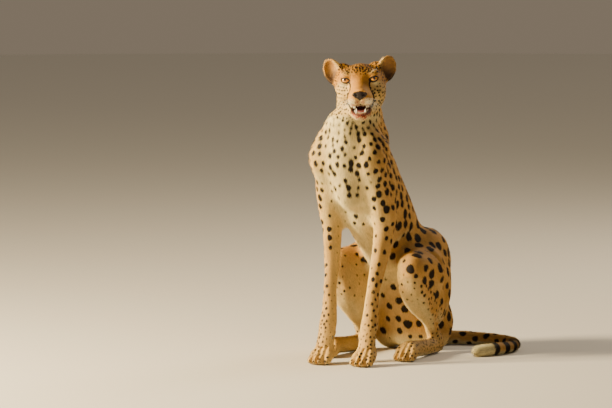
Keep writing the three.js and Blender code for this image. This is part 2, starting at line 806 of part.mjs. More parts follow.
/** A canine on each side and six small incisors between, up or down (way 1 or -1) from the gum at w. */
function teeth([u, f, w], way, length) {
  const canines = [u, -u].map((at) =>
    tooth([at, f, w - 6 * way], [at * 0.96, f + 2, w + length * way], 4.2),
  );
  const incisors = [-2.5, -1.5, -0.5, 0.5, 1.5, 2.5].map((i) => {
    const at = [i * 3.2, f + 7 - Math.abs(i) * 0.9];
    return tooth([...at, w - 5 * way], [...at, w + 4.5 * way], 2);
  });
  return [...canines, ...incisors].reduce((all, one) => all.add(one));
}

// ---------------------------------------------------------------- the part

const COAT = { color: 0xd9b27c, roughness: 0.9, metalness: 0 };
const PALE = { color: 0xe8d9bd, roughness: 0.9, metalness: 0 };
const DARK = { color: 0x2a1f1a, roughness: 0.45, metalness: 0 };
const EYE = { color: 0xc98a1e, roughness: 0.08, metalness: 0 };
const LOOKS = { nose: DARK, lower_jaw: PALE };
const TONGUE = { color: 0xb0555a, roughness: 0.5, metalness: 0 };

/** A solid's surface as a three.js geometry, without crumbs left by a cut. */
function geometryOf(solid) {
  const [largest] = solid.decompose().sort((a, b) => b.volume() - a.volume());
  const { numProp, numVert, vertProperties, triVerts } = largest.getMesh();
  const positions = new Float32Array(numVert * 3);
  for (let i = 0; i < numVert; i++)
    positions.set(vertProperties.subarray(i * numProp, i * numProp + 3), i * 3);
  const geometry = new THREE.BufferGeometry();
  geometry.setAttribute("position", new THREE.BufferAttribute(positions, 3));
  geometry.setIndex(new THREE.BufferAttribute(triVerts, 1));
  geometry.computeVertexNormals();
  return geometry;
}

const cheetah = new THREE.Group();

/** Adds a named mesh to the animal. */
function add(name, geometry, look) {
  const mesh = new THREE.Mesh(geometry, new THREE.MeshStandardMaterial(look));
  mesh.name = name;
  cheetah.add(mesh);
  return mesh;
}

const floor = behind(...FLOOR);
const flesh = fleshField();
const cut = (piece) => drawn(flesh, piece).intersect(cellOf(piece.planes, -GAP / 2)).intersect(floor);

for (const [name, piece] of Object.entries(HALVES)) {
  const geometry = geometryOf(cut(piece));
  add(name + "_left", geometry, COAT);
  add(name + "_right", geometry, COAT).scale.x = -1;
}

for (const [name, piece] of Object.entries(WHOLES)) {
  let solid = cut(piece);
  if (name === "lower_jaw") solid = solid.add(teeth([13, 90, -80], 1, 13)).subtract(tongueSolid(GAP));
  add(name, geometryOf(solid), LOOKS[name] ?? COAT);
}
add("tongue", geometryOf(tongueSolid(0)), TONGUE);

let head = drawn(flesh, HEAD).intersect(cellOf(HEAD.planes, -GAP / 2));
for (const name of ["lower_jaw", "nose", "ear_left", "ear_right"])
  head = head.subtract(cellOf(WHOLES[name].planes, GAP / 2));
for (const [word, side] of [["left", 1], ["right", -1]]) {
  head = head.subtract(eyeSolid(side, EYE_RADIUS + GAP));
  add("eye_" + word, geometryOf(eyeSolid(side, EYE_RADIUS)), EYE);
}
add("head", geometryOf(head.add(teeth([15.5, 87, -55], -1, 12))), COAT);

let trunk = drawn(flesh, TRUNK).intersect(floor);
for (const { planes } of [WHOLES.neck, WHOLES.tail_root])
  trunk = trunk.subtract(cellOf(planes, GAP / 2));
for (const { planes } of Object.values(HALVES))
  trunk = trunk
    .subtract(cellOf(planes, GAP / 2))
    .subtract(cellOf(planes.map(mirrored), GAP / 2));
add("trunk", geometryOf(trunk), COAT);

// The origin is on the floor, under the middle of the animal.
const middle = new THREE.Box3().setFromObject(cheetah).getCenter(new THREE.Vector3());
cheetah.position.set(-middle.x, -middle.y, 0);

export default cheetah;
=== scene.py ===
"""Looks of the sitting cheetah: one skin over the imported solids, its coat of short tufts, eyes, teeth, claws
and whiskers. Lengths are in millimetres where a name or a comment says so, and in metres otherwise."""
import math

import bmesh
import bpy
import numpy as np
import openvdb
from mathutils import Matrix, Vector, kdtree


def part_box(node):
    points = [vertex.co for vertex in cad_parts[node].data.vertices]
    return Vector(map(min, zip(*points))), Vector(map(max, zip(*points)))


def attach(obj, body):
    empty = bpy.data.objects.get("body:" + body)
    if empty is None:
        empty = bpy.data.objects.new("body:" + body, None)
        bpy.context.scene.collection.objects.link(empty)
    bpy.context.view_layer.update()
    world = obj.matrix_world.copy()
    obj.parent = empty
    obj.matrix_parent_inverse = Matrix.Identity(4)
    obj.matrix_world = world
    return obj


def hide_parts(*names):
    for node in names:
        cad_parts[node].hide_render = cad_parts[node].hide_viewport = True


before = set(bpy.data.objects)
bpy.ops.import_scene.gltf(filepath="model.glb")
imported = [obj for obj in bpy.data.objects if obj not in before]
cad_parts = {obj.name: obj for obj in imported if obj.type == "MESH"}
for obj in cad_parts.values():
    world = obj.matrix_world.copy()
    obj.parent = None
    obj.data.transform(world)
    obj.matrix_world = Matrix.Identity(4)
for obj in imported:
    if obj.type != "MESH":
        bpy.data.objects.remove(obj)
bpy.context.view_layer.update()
MM = 0.001

# ------------------------------------------------------------------ places in the frame

FLESH_HEAD = ["head", "lower_jaw", "nose", "ear_left", "ear_right"]
FLESH_BODY = [
    "neck", "trunk", "forearm_left", "forearm_right", "forepaw_left", "forepaw_right", "thigh_left", "thigh_right",
    "shank_left", "shank_right", "hindfoot_left", "hindfoot_right", "tail_root", "tail_middle", "tail_tip",
]
FLESH = FLESH_HEAD + FLESH_BODY
EYES = ["eye_left", "eye_right"]
SIDES = {"left": 1, "right": -1}


def centre(node):
    """The middle of a node's box, in metres."""
    low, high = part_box(node)
    return np.array((low + high) / 2)


# The animal's own frame: x from the midline to its left, y from head to tail, z from the floor, in mm.
HEEL_BACK = 215.85
ORIGIN = np.array([
    (centre("forearm_left")[0] + centre("forearm_right")[0]) / 2,
    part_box("hindfoot_left")[1][1] - HEEL_BACK * MM,
    0.0,
])

# The head's frame, in mm: left, forward and up from its centre. The eyes say where it lies.
HEAD_YAW, HEAD_ROLL, HEAD_PITCH = 22.8, 3.5, 3.0
EYE_AT = np.array([38.0, 38.0, 15.0])
EYE_RADIUS = 15.5
HEAD_TURN = np.array(
    Matrix.Rotation(math.radians(HEAD_YAW), 3, "Z")
    @ Matrix.Rotation(math.radians(-HEAD_ROLL), 3, "Y")
    @ Matrix.Rotation(math.radians(-HEAD_PITCH), 3, "X")
) @ np.diag([1.0, -1.0, 1.0])
EYES_MIDDLE = (centre("eye_left") + centre("eye_right")) / 2
HEAD_CENTRE = EYES_MIDDLE - HEAD_TURN @ (EYE_AT * [0, 1, 1]) * MM


def to_head(points):
    """Points of the frame as left, forward and up in the head, in mm."""
    return (points - HEAD_CENTRE) @ HEAD_TURN / MM


def from_head(points):
    """The way back from to_head."""
    return np.asarray(points, float) @ HEAD_TURN.T * MM + HEAD_CENTRE


def to_body(points):
    """Points of the frame in the animal's own frame, in mm."""
    return (points - ORIGIN) / MM


def from_body(points):
    """The way back from to_body."""
    return np.asarray(points, float) * MM + ORIGIN


# ------------------------------------------------------------------ distance fields
# Each takes an array of points, in mm, and gives a rough signed distance in mm, below 0 inside.


def join(a, b, k):
    """The nearer of two distances, with a fillet about as wide as k."""
    h = np.maximum(k - np.abs(a - b), 0) / k
    return np.minimum(a, b) - h * h * k * 0.25


def carve(a, b, k):
    """a without b."""
    return -join(-a, b, k)


def tilt(pitch, yaw=0.0):
    """The axes of a shape turned by pitch about the first axis and then by yaw about the third, in degrees."""
    turn = Matrix.Rotation(math.radians(yaw), 3, "Z") @ Matrix.Rotation(math.radians(pitch), 3, "X")
    return np.array(turn).T


def egg(p, middle, radii, turn=None):
    """An ellipsoid, with its axes as the rows of turn."""
    q = p - np.asarray(middle, float)
    if turn is not None:
        q = q @ turn.T
    radii = np.asarray(radii, float)
    q = q / radii
    far = np.linalg.norm(q, axis=-1)
    return far * (far - 1) / np.maximum(np.linalg.norm(q / radii, axis=-1), 1e-9)


def rod(p, a, ra, b, rb):
    """A rod from a to b with its own radius at each end."""
    a, b = np.asarray(a, float), np.asarray(b, float)
    u = b - a
    t = np.clip((p - a) @ u / (u @ u), 0, 1)
    return np.linalg.norm(p - a - t[..., None] * u, axis=-1) - (ra + (rb - ra) * t)


def path(p, stations):
    """Rods through stations of four numbers each: a place and a radius."""
    return np.minimum.reduce([rod(p, a[:3], a[3], b[:3], b[3]) for a, b in zip(stations, stations[1:])])


def pair(p):
    """Points with their first coordinate made positive, for shapes that come in pairs."""
    return np.concatenate([np.abs(p[..., :1]), p[..., 1:]], axis=-1)


def smooth(low, high, x):
    """0 below low, 1 above high, and a smooth step between them."""
    t = np.clip((x - low) / (high - low), 0, 1)
    return t * t * (3 - 2 * t)


# ------------------------------------------------------------------ grids and meshes

BAND = 7  # samples on each side of a surface that hold its distance
CLOSING = 0.5 * MM  # how far the nodes swell to close the cuts between them


class Grid:
    """Samples of a signed distance, in metres, over a box. Its start is a whole number of cells."""

    def __init__(self, low, high, cell):
        self.cell = cell
        self.start = np.floor(np.asarray(low) / cell / 2).astype(int) * 2
        self.shape = (np.ceil(np.asarray(high) / cell / 2).astype(int) * 2 - self.start) + 1
        self.values = None
        self.owner = None

    def window(self, low, high):
        """The slices of the samples inside a box."""
        a = np.clip(np.floor(np.asarray(low) / self.cell).astype(int) - self.start, 0, self.shape)
        b = np.clip(np.ceil(np.asarray(high) / self.cell).astype(int) - self.start + 1, 0, self.shape)
        return tuple(slice(int(i), int(j)) for i, j in zip(a, b))

    def points(self, window):
        """Where the samples in a window lie, in metres."""
        axes = [(np.arange(s.start, s.stop) + o) * self.cell for s, o in zip(window, self.start)]
        return np.stack(np.meshgrid(*axes, indexing="ij"), axis=-1)

    def nearest(self, array, points):
        """An array's samples nearest to some points."""
        index = np.rint(np.asarray(points) / self.cell).astype(int) - self.start
        return array[tuple(np.clip(index, 0, self.shape - 1).T)]

    def value_at(self, points):
        """The distance at some points, in metres."""
        place = np.clip(np.asarray(points) / self.cell - self.start, 0, self.shape - 1.001)
        low = place.astype(int)
        share = place - low
        total = 0
        for corner in np.ndindex(2, 2, 2):
            weight = np.prod(np.where(corner, share, 1 - share), axis=-1)
            total = total + weight * self.values[tuple((low + corner).T)]
        return total

    def outward(self, points):
        """The way out of the solid at some points."""
        steps = np.eye(3) * self.cell
        return unit(np.stack([self.value_at(points + s) - self.value_at(points - s) for s in steps], axis=-1))

    def reshape_near(self, middle, reach, change):
        """Changes the samples in a box: change takes them, in mm, and their places, and gives the new ones."""
        window = self.window(np.asarray(middle) - reach, np.asarray(middle) + reach)
        self.values[window] = change(self.values[window] / MM, self.points(window)) * MM

    def surface(self):
        """The surface where the distance is 0, as points and triangles."""
        grid = openvdb.FloatGrid()
        grid.background = float(self.values.max())
        grid.transform = openvdb.createLinearTransform(self.cell)
        grid.copyFromArray(self.values, ijk=tuple(int(i) for i in self.start))
        points, quads = grid.convertToQuads(0.0)
        quads = quads.astype(int)
        return points.astype(float), np.concatenate([quads[:, [0, 1, 2]], quads[:, [0, 2, 3]]])


def node_mesh(node):
    """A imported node's points and triangles."""
    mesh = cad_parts[node].data
    mesh.calc_loop_triangles()
    points = np.empty(len(mesh.vertices) * 3, np.float32)
    mesh.vertices.foreach_get("co", points)
    triangles = np.empty(len(mesh.loop_triangles) * 3, np.int32)
    mesh.loop_triangles.foreach_get("vertices", triangles)
    return points.reshape(-1, 3), triangles.reshape(-1, 3)


def joined(nodes, low, high, cell):
    """A grid of the least distance to any node, with the number of the node that has it."""
    grid = Grid(low, high, cell)
    grid.values = np.full(tuple(grid.shape), BAND * cell, np.float32)
    grid.owner = np.zeros(tuple(grid.shape), np.uint8)
    for node in nodes:
        points, triangles = node_mesh(node)
        reach = (BAND + 1) * cell
        window = grid.window(points.min(0) - reach, points.max(0) + reach)
        if any(s.stop <= s.start for s in window):
            continue
        level = level_set(points, triangles, cell)
        near = np.empty([s.stop - s.start for s in window], np.float32)
        level.copyToArray(near, ijk=tuple(int(s.start + o) for s, o in zip(window, grid.start)))
        closer = near < grid.values[window]
        grid.values[window][closer] = near[closer]
        grid.owner[window][closer] = FLESH.index(node) if node in FLESH else 0
    return grid


def level_set(points, triangles, cell):
    """The signed distance to a closed mesh, near it."""
    return openvdb.FloatGrid.createLevelSetFromPolygons(
        points.astype(np.float32), triangles=triangles.astype(np.uint32),
        transform=openvdb.createLinearTransform(cell), halfWidth=BAND,
    )


def without_cuts(grid):
    """The grid with the thin cuts between the nodes closed, and its distances measured from the outside alone."""
    grid.values -= np.float32(CLOSING)
    points, triangles = grid.surface()
    level_set(points, triangles, grid.cell).copyToArray(grid.values, ijk=tuple(int(i) for i in grid.start))
    grid.values += np.float32(CLOSING)
    return grid


def blurred(values, reach, rounds=3):
    """The values averaged over boxes of 2 reach + 1 samples a side, a few times over."""
    for _ in range(rounds):
        for axis in range(3):
            padded = np.pad(values, [(reach, reach) if a == axis else (0, 0) for a in range(3)], mode="edge")
            total = np.zeros_like(values)
            for step in range(2 * reach + 1):
                cut = [slice(None)] * 3
                cut[axis] = slice(step, step + values.shape[axis])
                total += padded[tuple(cut)]
            values = total / np.float32(2 * reach + 1)
    return values


def per_owner(grid, table, reach):
    """A value for each node, spread over a grid and blurred where nodes meet."""
    values = np.array([table.get(node, 0) for node in FLESH], np.float32)[grid.owner]
    return blurred(values, reach, 2)


def edges_of(triangles):
    """Each edge of a mesh once, as two vertices."""
    pairs = np.sort(np.concatenate([triangles[:, [0, 1]], triangles[:, [1, 2]], triangles[:, [2, 0]]]), axis=1)
    count = int(triangles.max()) + 1
    key = np.unique(pairs[:, 0].astype(np.int64) * count + pairs[:, 1])
    return np.stack([key // count, key % count], axis=-1)


def neighbour_mean(edges, values):
    """The mean of each vertex's neighbours' values."""
    count = len(values)
    a, b = edges[:, 0], edges[:, 1]
    valence = np.bincount(a, minlength=count) + np.bincount(b, minlength=count)
    sums = [np.bincount(a, v[b], count) + np.bincount(b, v[a], count) for v in values.reshape(count, -1).T]
    return (np.stack(sums, axis=-1) / np.maximum(valence, 1)[:, None]).reshape(values.shape)


def unit(vectors):
    """The vectors with length 1."""
    return vectors / np.maximum(np.linalg.norm(vectors, axis=-1, keepdims=True), 1e-12)


def normals_of(points, triangles):
    """The way out at each vertex of a mesh."""
    a, b, c = (points[triangles[:, i]] for i in range(3))
    face = np.cross(b - a, c - a)
    total = [sum(np.bincount(triangles[:, i], face[:, j], len(points)) for i in range(3)) for j in range(3)]
    return unit(np.stack(total, axis=-1))


def new_mesh(name, points, faces):
    """A mesh of triangles or quads, one array row for each."""
    mesh = bpy.data.meshes.new(name)
    faces = np.asarray(faces)
    count, sides = faces.shape
    mesh.vertices.add(len(points))
    mesh.vertices.foreach_set("co", np.asarray(points, np.float32).ravel())
    mesh.loops.add(count * sides)
    mesh.loops.foreach_set("vertex_index", faces.astype(np.int32).ravel())
    mesh.polygons.add(count)
    mesh.polygons.foreach_set("loop_start", np.arange(0, count * sides, sides, dtype=np.int32))
    mesh.polygons.foreach_set("use_smooth", np.full(count, True))
    mesh.update(calc_edges=True)
    return mesh


def arrays_of(mesh):
    """A mesh's points and triangles."""
    points = np.empty(len(mesh.vertices) * 3, np.float32)
    mesh.vertices.foreach_get("co", points)
    mesh.calc_loop_triangles()
    triangles = np.empty(len(mesh.loop_triangles) * 3, np.int32)
    mesh.loop_triangles.foreach_get("vertices", triangles)
    return points.reshape(-1, 3).astype(float), triangles.reshape(-1, 3).astype(int)


def add_piece(name, mesh, material, slot, **values):
    """A visible piece with some values stored at its vertices, which rides on the one body."""
    for key, each in values.items():
        set_attribute(mesh, key, each)
    piece = bpy.data.objects.new(name, mesh)
    bpy.context.scene.collection.objects.link(piece)
    mesh.materials.append(material)
    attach(piece, "root")
    return piece


def set_attribute(mesh, name, values, kind=None):
    """Stores one value, one colour or, if its kind says so, one vector for each vertex."""
    values = np.asarray(values, np.float32)
    kind = kind or ("FLOAT_COLOR" if values.ndim == 2 else "FLOAT")
    if kind == "FLOAT_COLOR":
        values = np.concatenate([values, np.ones((len(values), 1), np.float32)], axis=1)
    field = {"FLOAT": "value", "FLOAT_COLOR": "color", "FLOAT_VECTOR": "vector"}[kind]
    mesh.attributes.new(name, kind, "POINT").data.foreach_set(field, values.ravel())


def thinned(points, triangles, target):
    """The mesh with about target triangles, fewest where it is flattest."""
    if len(triangles) <= target:
        return points, triangles
    mesh = new_mesh("thinned", points, triangles)
    thing = bpy.data.objects.new("thinned", mesh)
    bpy.context.scene.collection.objects.link(thing)
    thing.modifiers.new("thin", "DECIMATE").ratio = target / len(triangles)
    result = thing.evaluated_get(bpy.context.evaluated_depsgraph_get()).to_mesh()
    points, triangles = arrays_of(result)
    bpy.data.objects.remove(thing)
    bpy.data.meshes.remove(mesh)
    return points, triangles

# ------------------------------------------------------------------ the skin's shape

BODY_CELL = 2.5 * MM
HEAD_CELL = BODY_CELL / 2
NECK_CUT = np.array([0.0, -140.0, 690.0])  # in the animal's frame
NECK_WAY = unit(np.array([-0.03, 0.36, -0.93]))  # from the head to the body

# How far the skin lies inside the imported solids, in mm: the coat's depth.
COAT_DEPTH = {
    "head": 1.6, "lower_jaw": 1.4, "nose": 0.2, "ear_left": 0.8, "ear_right": 0.8, "neck": 3.4, "trunk": 3.4,
    "forearm_left": 2.2, "forearm_right": 2.2, "forepaw_left": 0.8, "forepaw_right": 0.8, "thigh_left": 3.6,
    "thigh_right": 3.6, "shank_left": 2.2, "shank_right": 2.2, "hindfoot_left": 0.8, "hindfoot_right": 0.8,
    "tail_root": 3.4, "tail_middle": 3.4, "tail_tip": 3.4,
}
# Shares of the widest smoothing, for the large round forms, and of the middle one.
WIDE = {"neck": 1, "trunk": 1, "thigh_left": 1, "thigh_right": 1}
MIDDLING = {
    "forearm_left": 1, "forearm_right": 1, "shank_left": 1, "shank_right": 1, "tail_root": 1, "tail_middle": 1,
    "tail_tip": 1, "head": 1,
}


def past_neck(points):
    """How far points lie past the cut through the neck, towards the body, in mm."""
    return (to_body(points) - NECK_CUT) @ NECK_WAY


def body_grid():
    """The whole body's distance field, blurred where forms run together and drawn in by the coat's depth."""
    corners = np.array([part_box(node) for node in FLESH])
    low, high = corners[:, 0].min(0), corners[:, 1].max(0)
    margin = 8 * MM
    grid = without_cuts(joined(FLESH + EYES, low - margin, high + margin, BODY_CELL))
    wide, middling = (per_owner(grid, table, 3) for table in (WIDE, MIDDLING))
    fine = blurred(grid.values, 1)
    medium = blurred(fine, 1)
    wide_field = blurred(medium, 3)
    grid.values = fine + (medium - fine) * np.clip(wide + middling, 0, 1)
    grid.values += (wide_field - grid.values) * wide
    grid.values += per_owner(grid, COAT_DEPTH, 3) * np.float32(MM)
    return grid


def doubled(values):
    """The samples of a grid with half the cell, by straight lines between the old ones."""
    for axis in range(3):
        values = np.moveaxis(values, axis, 0)
        finer = np.empty((2 * len(values) - 1, *values.shape[1:]), np.float32)
        finer[::2] = values
        finer[1::2] = (values[1:] + values[:-1]) / 2
        values = np.moveaxis(finer, 0, axis)
    return values


def head_grid(body):
    """The same for the head and the neck, with half the cell."""
    corners = np.array([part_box(n) for n in FLESH_HEAD + ["neck"]])
    margin = 6 * MM
    low, high = corners[:, 0].min(0) - margin, corners[:, 1].max(0) + margin
    low[2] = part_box("neck")[0][2] - 30 * MM
    coarse = Grid(low, high, BODY_CELL)
    top = (coarse.start + coarse.shape - 1) * BODY_CELL
    grid = joined(FLESH + EYES, coarse.start * BODY_CELL, top, HEAD_CELL)
    grid = without_cuts(grid)
    head = per_owner(grid, {"head": 1, "neck": 1}, 4)
    fine = blurred(grid.values, 1)
    grid.values = fine + (blurred(fine, 2, 2) - fine) * head
    grid.values += per_owner(grid, COAT_DEPTH, 5) * np.float32(MM)

    throat_latch(grid)

    # Near the cut through the neck it is the body's own field.
    share = tuple(slice(int(a), int(a + n)) for a, n in zip(coarse.start - body.start, coarse.shape))
    old = doubled(body.values[share])
    start = grid.start - coarse.start * 2
    old = old[tuple(slice(int(a), int(a + n)) for a, n in zip(start, grid.shape))]
    everywhere = grid.window(low - 1, high + 1)
    weight = smooth(-34, -4, past_neck(grid.points(everywhere))).astype(np.float32)
    grid.values += (old - grid.values) * weight
    return grid


def flattened_cut(points, triangles, level, keep_body):
    """The mesh on one side of the plane at a level past the neck's cut, and its rim as an ordered loop."""
    mesh = bmesh.new()
    scratch = new_mesh("cut", points, triangles)
    mesh.from_mesh(scratch)
    bpy.data.meshes.remove(scratch)
    at = from_body(NECK_CUT + NECK_WAY * level)
    bmesh.ops.bisect_plane(
        mesh, geom=mesh.verts[:] + mesh.edges[:] + mesh.faces[:], dist=1e-7, plane_co=at, plane_no=NECK_WAY,
        clear_inner=keep_body, clear_outer=not keep_body,
    )
    bmesh.ops.triangulate(mesh, faces=mesh.faces[:])
    mesh.verts.index_update()
    points = np.array([v.co for v in mesh.verts])
    triangles = np.array([[v.index for v in f.verts] for f in mesh.faces])
    mesh.free()
    sides = np.concatenate([triangles[:, [0, 1]], triangles[:, [1, 2]], triangles[:, [2, 0]]])
    count = len(points)
    forward = sides[:, 0].astype(np.int64) * count + sides[:, 1]
    open_sides = sides[~np.isin(forward, sides[:, 1].astype(np.int64) * count + sides[:, 0])]
    following = dict(open_sides.tolist())
    loops = []
    while following:
        start, step = following.popitem()
        loop = [start]
        while step != start:
            loop.append(step)
            step = following.pop(step)
        loops.append(loop)
    loops.sort(key=len)
    return points, triangles, loops[-1]


def zipped(first, second):
    """Two meshes with one rim each, joined by a strip between the rims."""
    (points, triangles, rim), (points2, triangles2, rim2) = first, second
    middle = points[rim].mean(0)
    across = unit(np.cross(NECK_WAY, [1.0, 0.0, 0.0]))
    along = np.cross(NECK_WAY, across)

    def turns(places):
        away = places - middle
        return np.arctan2(away @ along, away @ across)

    if np.median(np.diff(turns(points[rim]))) < 0:
        along = -along

    def from_least(loop, places):
        loop = np.roll(loop, -int(np.argmin(turns(places[loop]))))
        turn = turns(places[loop])
        return np.append(loop, loop[0]), np.maximum.accumulate(np.append(turn, turn[0] + 2 * np.pi))

    rim, turn = from_least(np.array(rim), points)
    rim2, turn2 = from_least(np.array(rim2)[::-1], points2)
    rim2 = rim2 + len(points)
    strip = []
    i = j = 0
    while i < len(rim) - 1 or j < len(rim2) - 1:
        if j == len(rim2) - 1 or (i < len(rim) - 1 and turn[i + 1] <= turn2[j + 1]):
            strip.append([rim[i + 1], rim[i], rim2[j]])
            i += 1
        else:
            strip.append([rim[i], rim2[j], rim2[j + 1]])
            j += 1
    return np.concatenate([points, points2]), np.concatenate([triangles, triangles2 + len(points), strip])

# ------------------------------------------------------------------ the head's details, in its own frame, in mm

GAZE_OUT = 12.0  # degrees that each eye looks away from straight ahead
LID = 2.0  # the lids' thickness
UPPER_LID, LOWER_LID = 15.5, 26.0  # how far the lids open at the middle, in degrees from the eye's centre
FISSURE = 44.0  # half the opening's width, in degrees
MOUTH_AT, MOUTH_SIZE, MOUTH_TILT = np.array([0.0, 79.0, -68.0]), np.array([26.5, 38.0, 13.5]), tilt(-5)
# Lines on the surface, as left, up, depth below it and radius.
NOSTRIL = [[8.0, -31.5, 2.5, 2.0], [10.5, -28.2, 1.0, 3.3], [14.5, -27.8, 0.4, 2.3], [18.0, -30.5, 0.0, 1.4]]
PHILTRUM = [[0, -33, 0, 0.9], [0, -44, 0.2, 1.5], [0, -54, 0.4, 1.7]]
NOSE_EDGE = [[23.5, -23, 0, 0.9], [23, -28, 0.2, 1.3], [17.5, -34.5, 0.4, 1.6], [9, -39.5, 0.3, 1.5], [2, -43, 0, 1.2]]


def eye_axes(side=1):
    """Outward, gaze and up for one eye, as rows."""
    out = math.radians(GAZE_OUT)
    return np.array([
        [side * math.cos(out), -math.sin(out), 0], [side * math.sin(out), math.cos(out), 0], [0, 0, 1],
    ])


def eye_opening(q):
    """For places around an eye, on its own axes: how far outside the lids' opening they lie, in mm."""
    across = np.degrees(np.arctan2(q[..., 0], np.maximum(q[..., 1], 1e-3)))
    up = np.degrees(np.arctan2(q[..., 2], np.maximum(np.hypot(q[..., 0], q[..., 1]), 1e-3)))
    t = (across + 1) / FISSURE
    slope = 6.0 * t - 1.5
    curve = np.clip(1 - t * t, 0, 1)
    above = up - slope - UPPER_LID * curve ** 0.7
    below = slope - up - LOWER_LID * curve ** 0.62
    past = np.maximum(np.abs(t) - 1, 0) * FISSURE
    return np.radians(np.maximum(above, below) + past) * EYE_RADIUS


def eye_details(value, points):
    """The lids, their crease and rim, the tear duct and the socket for the ball."""
    q = (pair(to_head(points)) - EYE_AT) @ eye_axes().T
    far = np.linalg.norm(q, axis=-1)
    value = join(value, far - EYE_RADIUS - LID, 7)
    opening = eye_opening(q)
    crease = np.exp(-((opening - 6.5) / 1.5) ** 2) * (q[..., 2] > 0) * smooth(0, 6, q[..., 1])
    value = value + 0.9 * crease * smooth(15, 9, np.abs(q[..., 0]))
    rim = np.sqrt(opening ** 2 + (far - EYE_RADIUS - 1.1) ** 2) - 1.4
    ahead = q[..., 1] > 1
    value = np.where(ahead, carve(value, np.maximum(opening, -q[..., 1]), 1.4), value)
    value = np.where(ahead, join(value, rim, 1.2), value)
    duct = rod(q, [-13.0, 9.5, -3.4], 1.6, [-16.5, 12.5, -7.0], 0.9)
    value = carve(value, duct, 1.5)
    return carve(value, np.maximum(far - EYE_RADIUS - 0.1, 3 - q[..., 1]), 0.3)


def laid_on(grid, stations):
    """Stations on the face: from left and up, the first place on the surface that a line from the front meets."""
    laid = []
    for left, up, depth, radius in stations:
        forward = np.arange(130, 0, -0.5)
        line = np.stack([np.full_like(forward, left), forward, np.full_like(forward, up)], axis=-1)
        inside = grid.value_at(from_head(line)) < 0
        place = from_head(line[np.argmax(inside)])[None]
        laid.append([*to_head(place - grid.outward(place) * depth * MM)[0], radius])
    return laid


def drawn_on(grid, stations):
    """A line on the face: its stations laid on and joined evenly, then eased and put back on the surface."""
    given = np.array(stations, float)
    t = np.linspace(0, len(given) - 1, 5 * len(given))
    fine = np.stack([np.interp(t, np.arange(len(given)), given[:, i]) for i in range(4)], axis=1)
    line = np.array(laid_on(grid, fine))
    for _ in range(30):
        eased = line[:, :3].copy()
        eased[1:-1] = (eased[:-2] + eased[2:] + 2 * eased[1:-1]) / 4
        places = from_head(eased)
        off = grid.value_at(places)[:, None] * grid.outward(places)
        line[:, :3] = to_head(places - off)
    return line


def lip_edge(grid):
    """The mouth's rim: where its hollow, made a little wider, first meets flesh, going in from the front."""
    turn = np.linspace(0, 2 * np.pi, 56, endpoint=False)
    tip = np.radians(np.arange(20, 150, 0.5))
    ring = np.stack([
        np.cos(turn)[:, None] * np.sin(tip), np.broadcast_to(np.cos(tip), (56, len(tip))),
        np.sin(turn)[:, None] * np.sin(tip),
    ], axis=-1)
    places = MOUTH_AT + (ring * (MOUTH_SIZE + 4.0)) @ MOUTH_TILT
    inside = grid.value_at(from_head(places.reshape(-1, 3))).reshape(56, -1) < -0.3 * MM
    edge = places[np.arange(56), np.argmax(inside, axis=1)]
    for _ in range(4):
        edge = (np.roll(edge, 1, 0) + edge * 2 + np.roll(edge, -1, 0)) / 4
    return edge


def nose_details(grid):
    """The nose's pad and wings, its edge, the groove below it and the nostrils."""
    def shape(value, points):
        q = pair(to_head(points))
        value = join(value, egg(q, [0, 110.5, -28], [21.5, 10.5, 10.5]), 4)
        return join(value, egg(q, [14.5, 110.5, -27], [8, 9.5, 8]), 3)

    def groove(lines, k, value, points):
        q = pair(to_head(points))
        return carve(value, np.minimum.reduce([path(q, line) for line in lines]), k)

    middle, reach = from_head([0, 108, -34]), 36 * MM
    grid.reshape_near(middle, reach, shape)
    lines = [laid_on(grid, line) for line in (NOSE_EDGE, PHILTRUM)]
    nostril = laid_on(grid, NOSTRIL)
    grid.reshape_near(middle, reach, lambda v, p: groove(lines, 2.4, v, p))
    grid.reshape_near(middle, reach, lambda v, p: groove([nostril], 1.4, v, p))


def mouth_details(grid):
    """The open mouth's hollow and the lips about it; gives the mouth's rim."""
    middle, reach = from_head([0, 84, -66]), 48 * MM
    grid.reshape_near(middle, reach, lambda v, p: carve(v, egg(to_head(p), [0, 92, -69], [20, 34, 9.5], MOUTH_TILT), 1))
    edge = lip_edge(grid)
    back = smooth(40, 100, edge[:, 1])
    upper = edge[:, 2] > MOUTH_AT[2]
    size = np.where(upper, 1.6 + 1.0 * back, 1.5 + 0.8 * back)
    rim = np.concatenate([edge, size[:, None]], axis=1)
    rim = np.concatenate([rim, rim[:1]])

    def shape(value, points):
        p = to_head(points)
        value = join(value, path(p, rim[::2]), 3.0)
        return carve(value, egg(p, MOUTH_AT, MOUTH_SIZE, MOUTH_TILT), 1.5)

    grid.reshape_near(middle, reach, shape)
    return edge


def head_details(grid):
    """All details of the head; gives the mouth's rim."""
    for side in SIDES.values():
        grid.reshape_near(from_head(EYE_AT * [side, 1, 1]), 32 * MM, eye_details)
    edge = mouth_details(grid)
    nose_details(grid)
    return edge


# ------------------------------------------------------------------ the feet's details, in the animal's frame, in mm

FORE_TOES, HIND_TOES = (np.array([65.0, -190.0]), 46.0, 16.5), (np.array([122.0, -22.0]), 44.0, 16.0)


def toe_tips(foot):
    """The places of a left foot's four toes, across it, and how far each reaches forward, in mm."""
    (x, y), length, splay = foot
    return [(x + i * splay, y - length * (1 if abs(i) < 1 else 0.8)) for i in (-1.5, -0.5, 0.5, 1.5)]


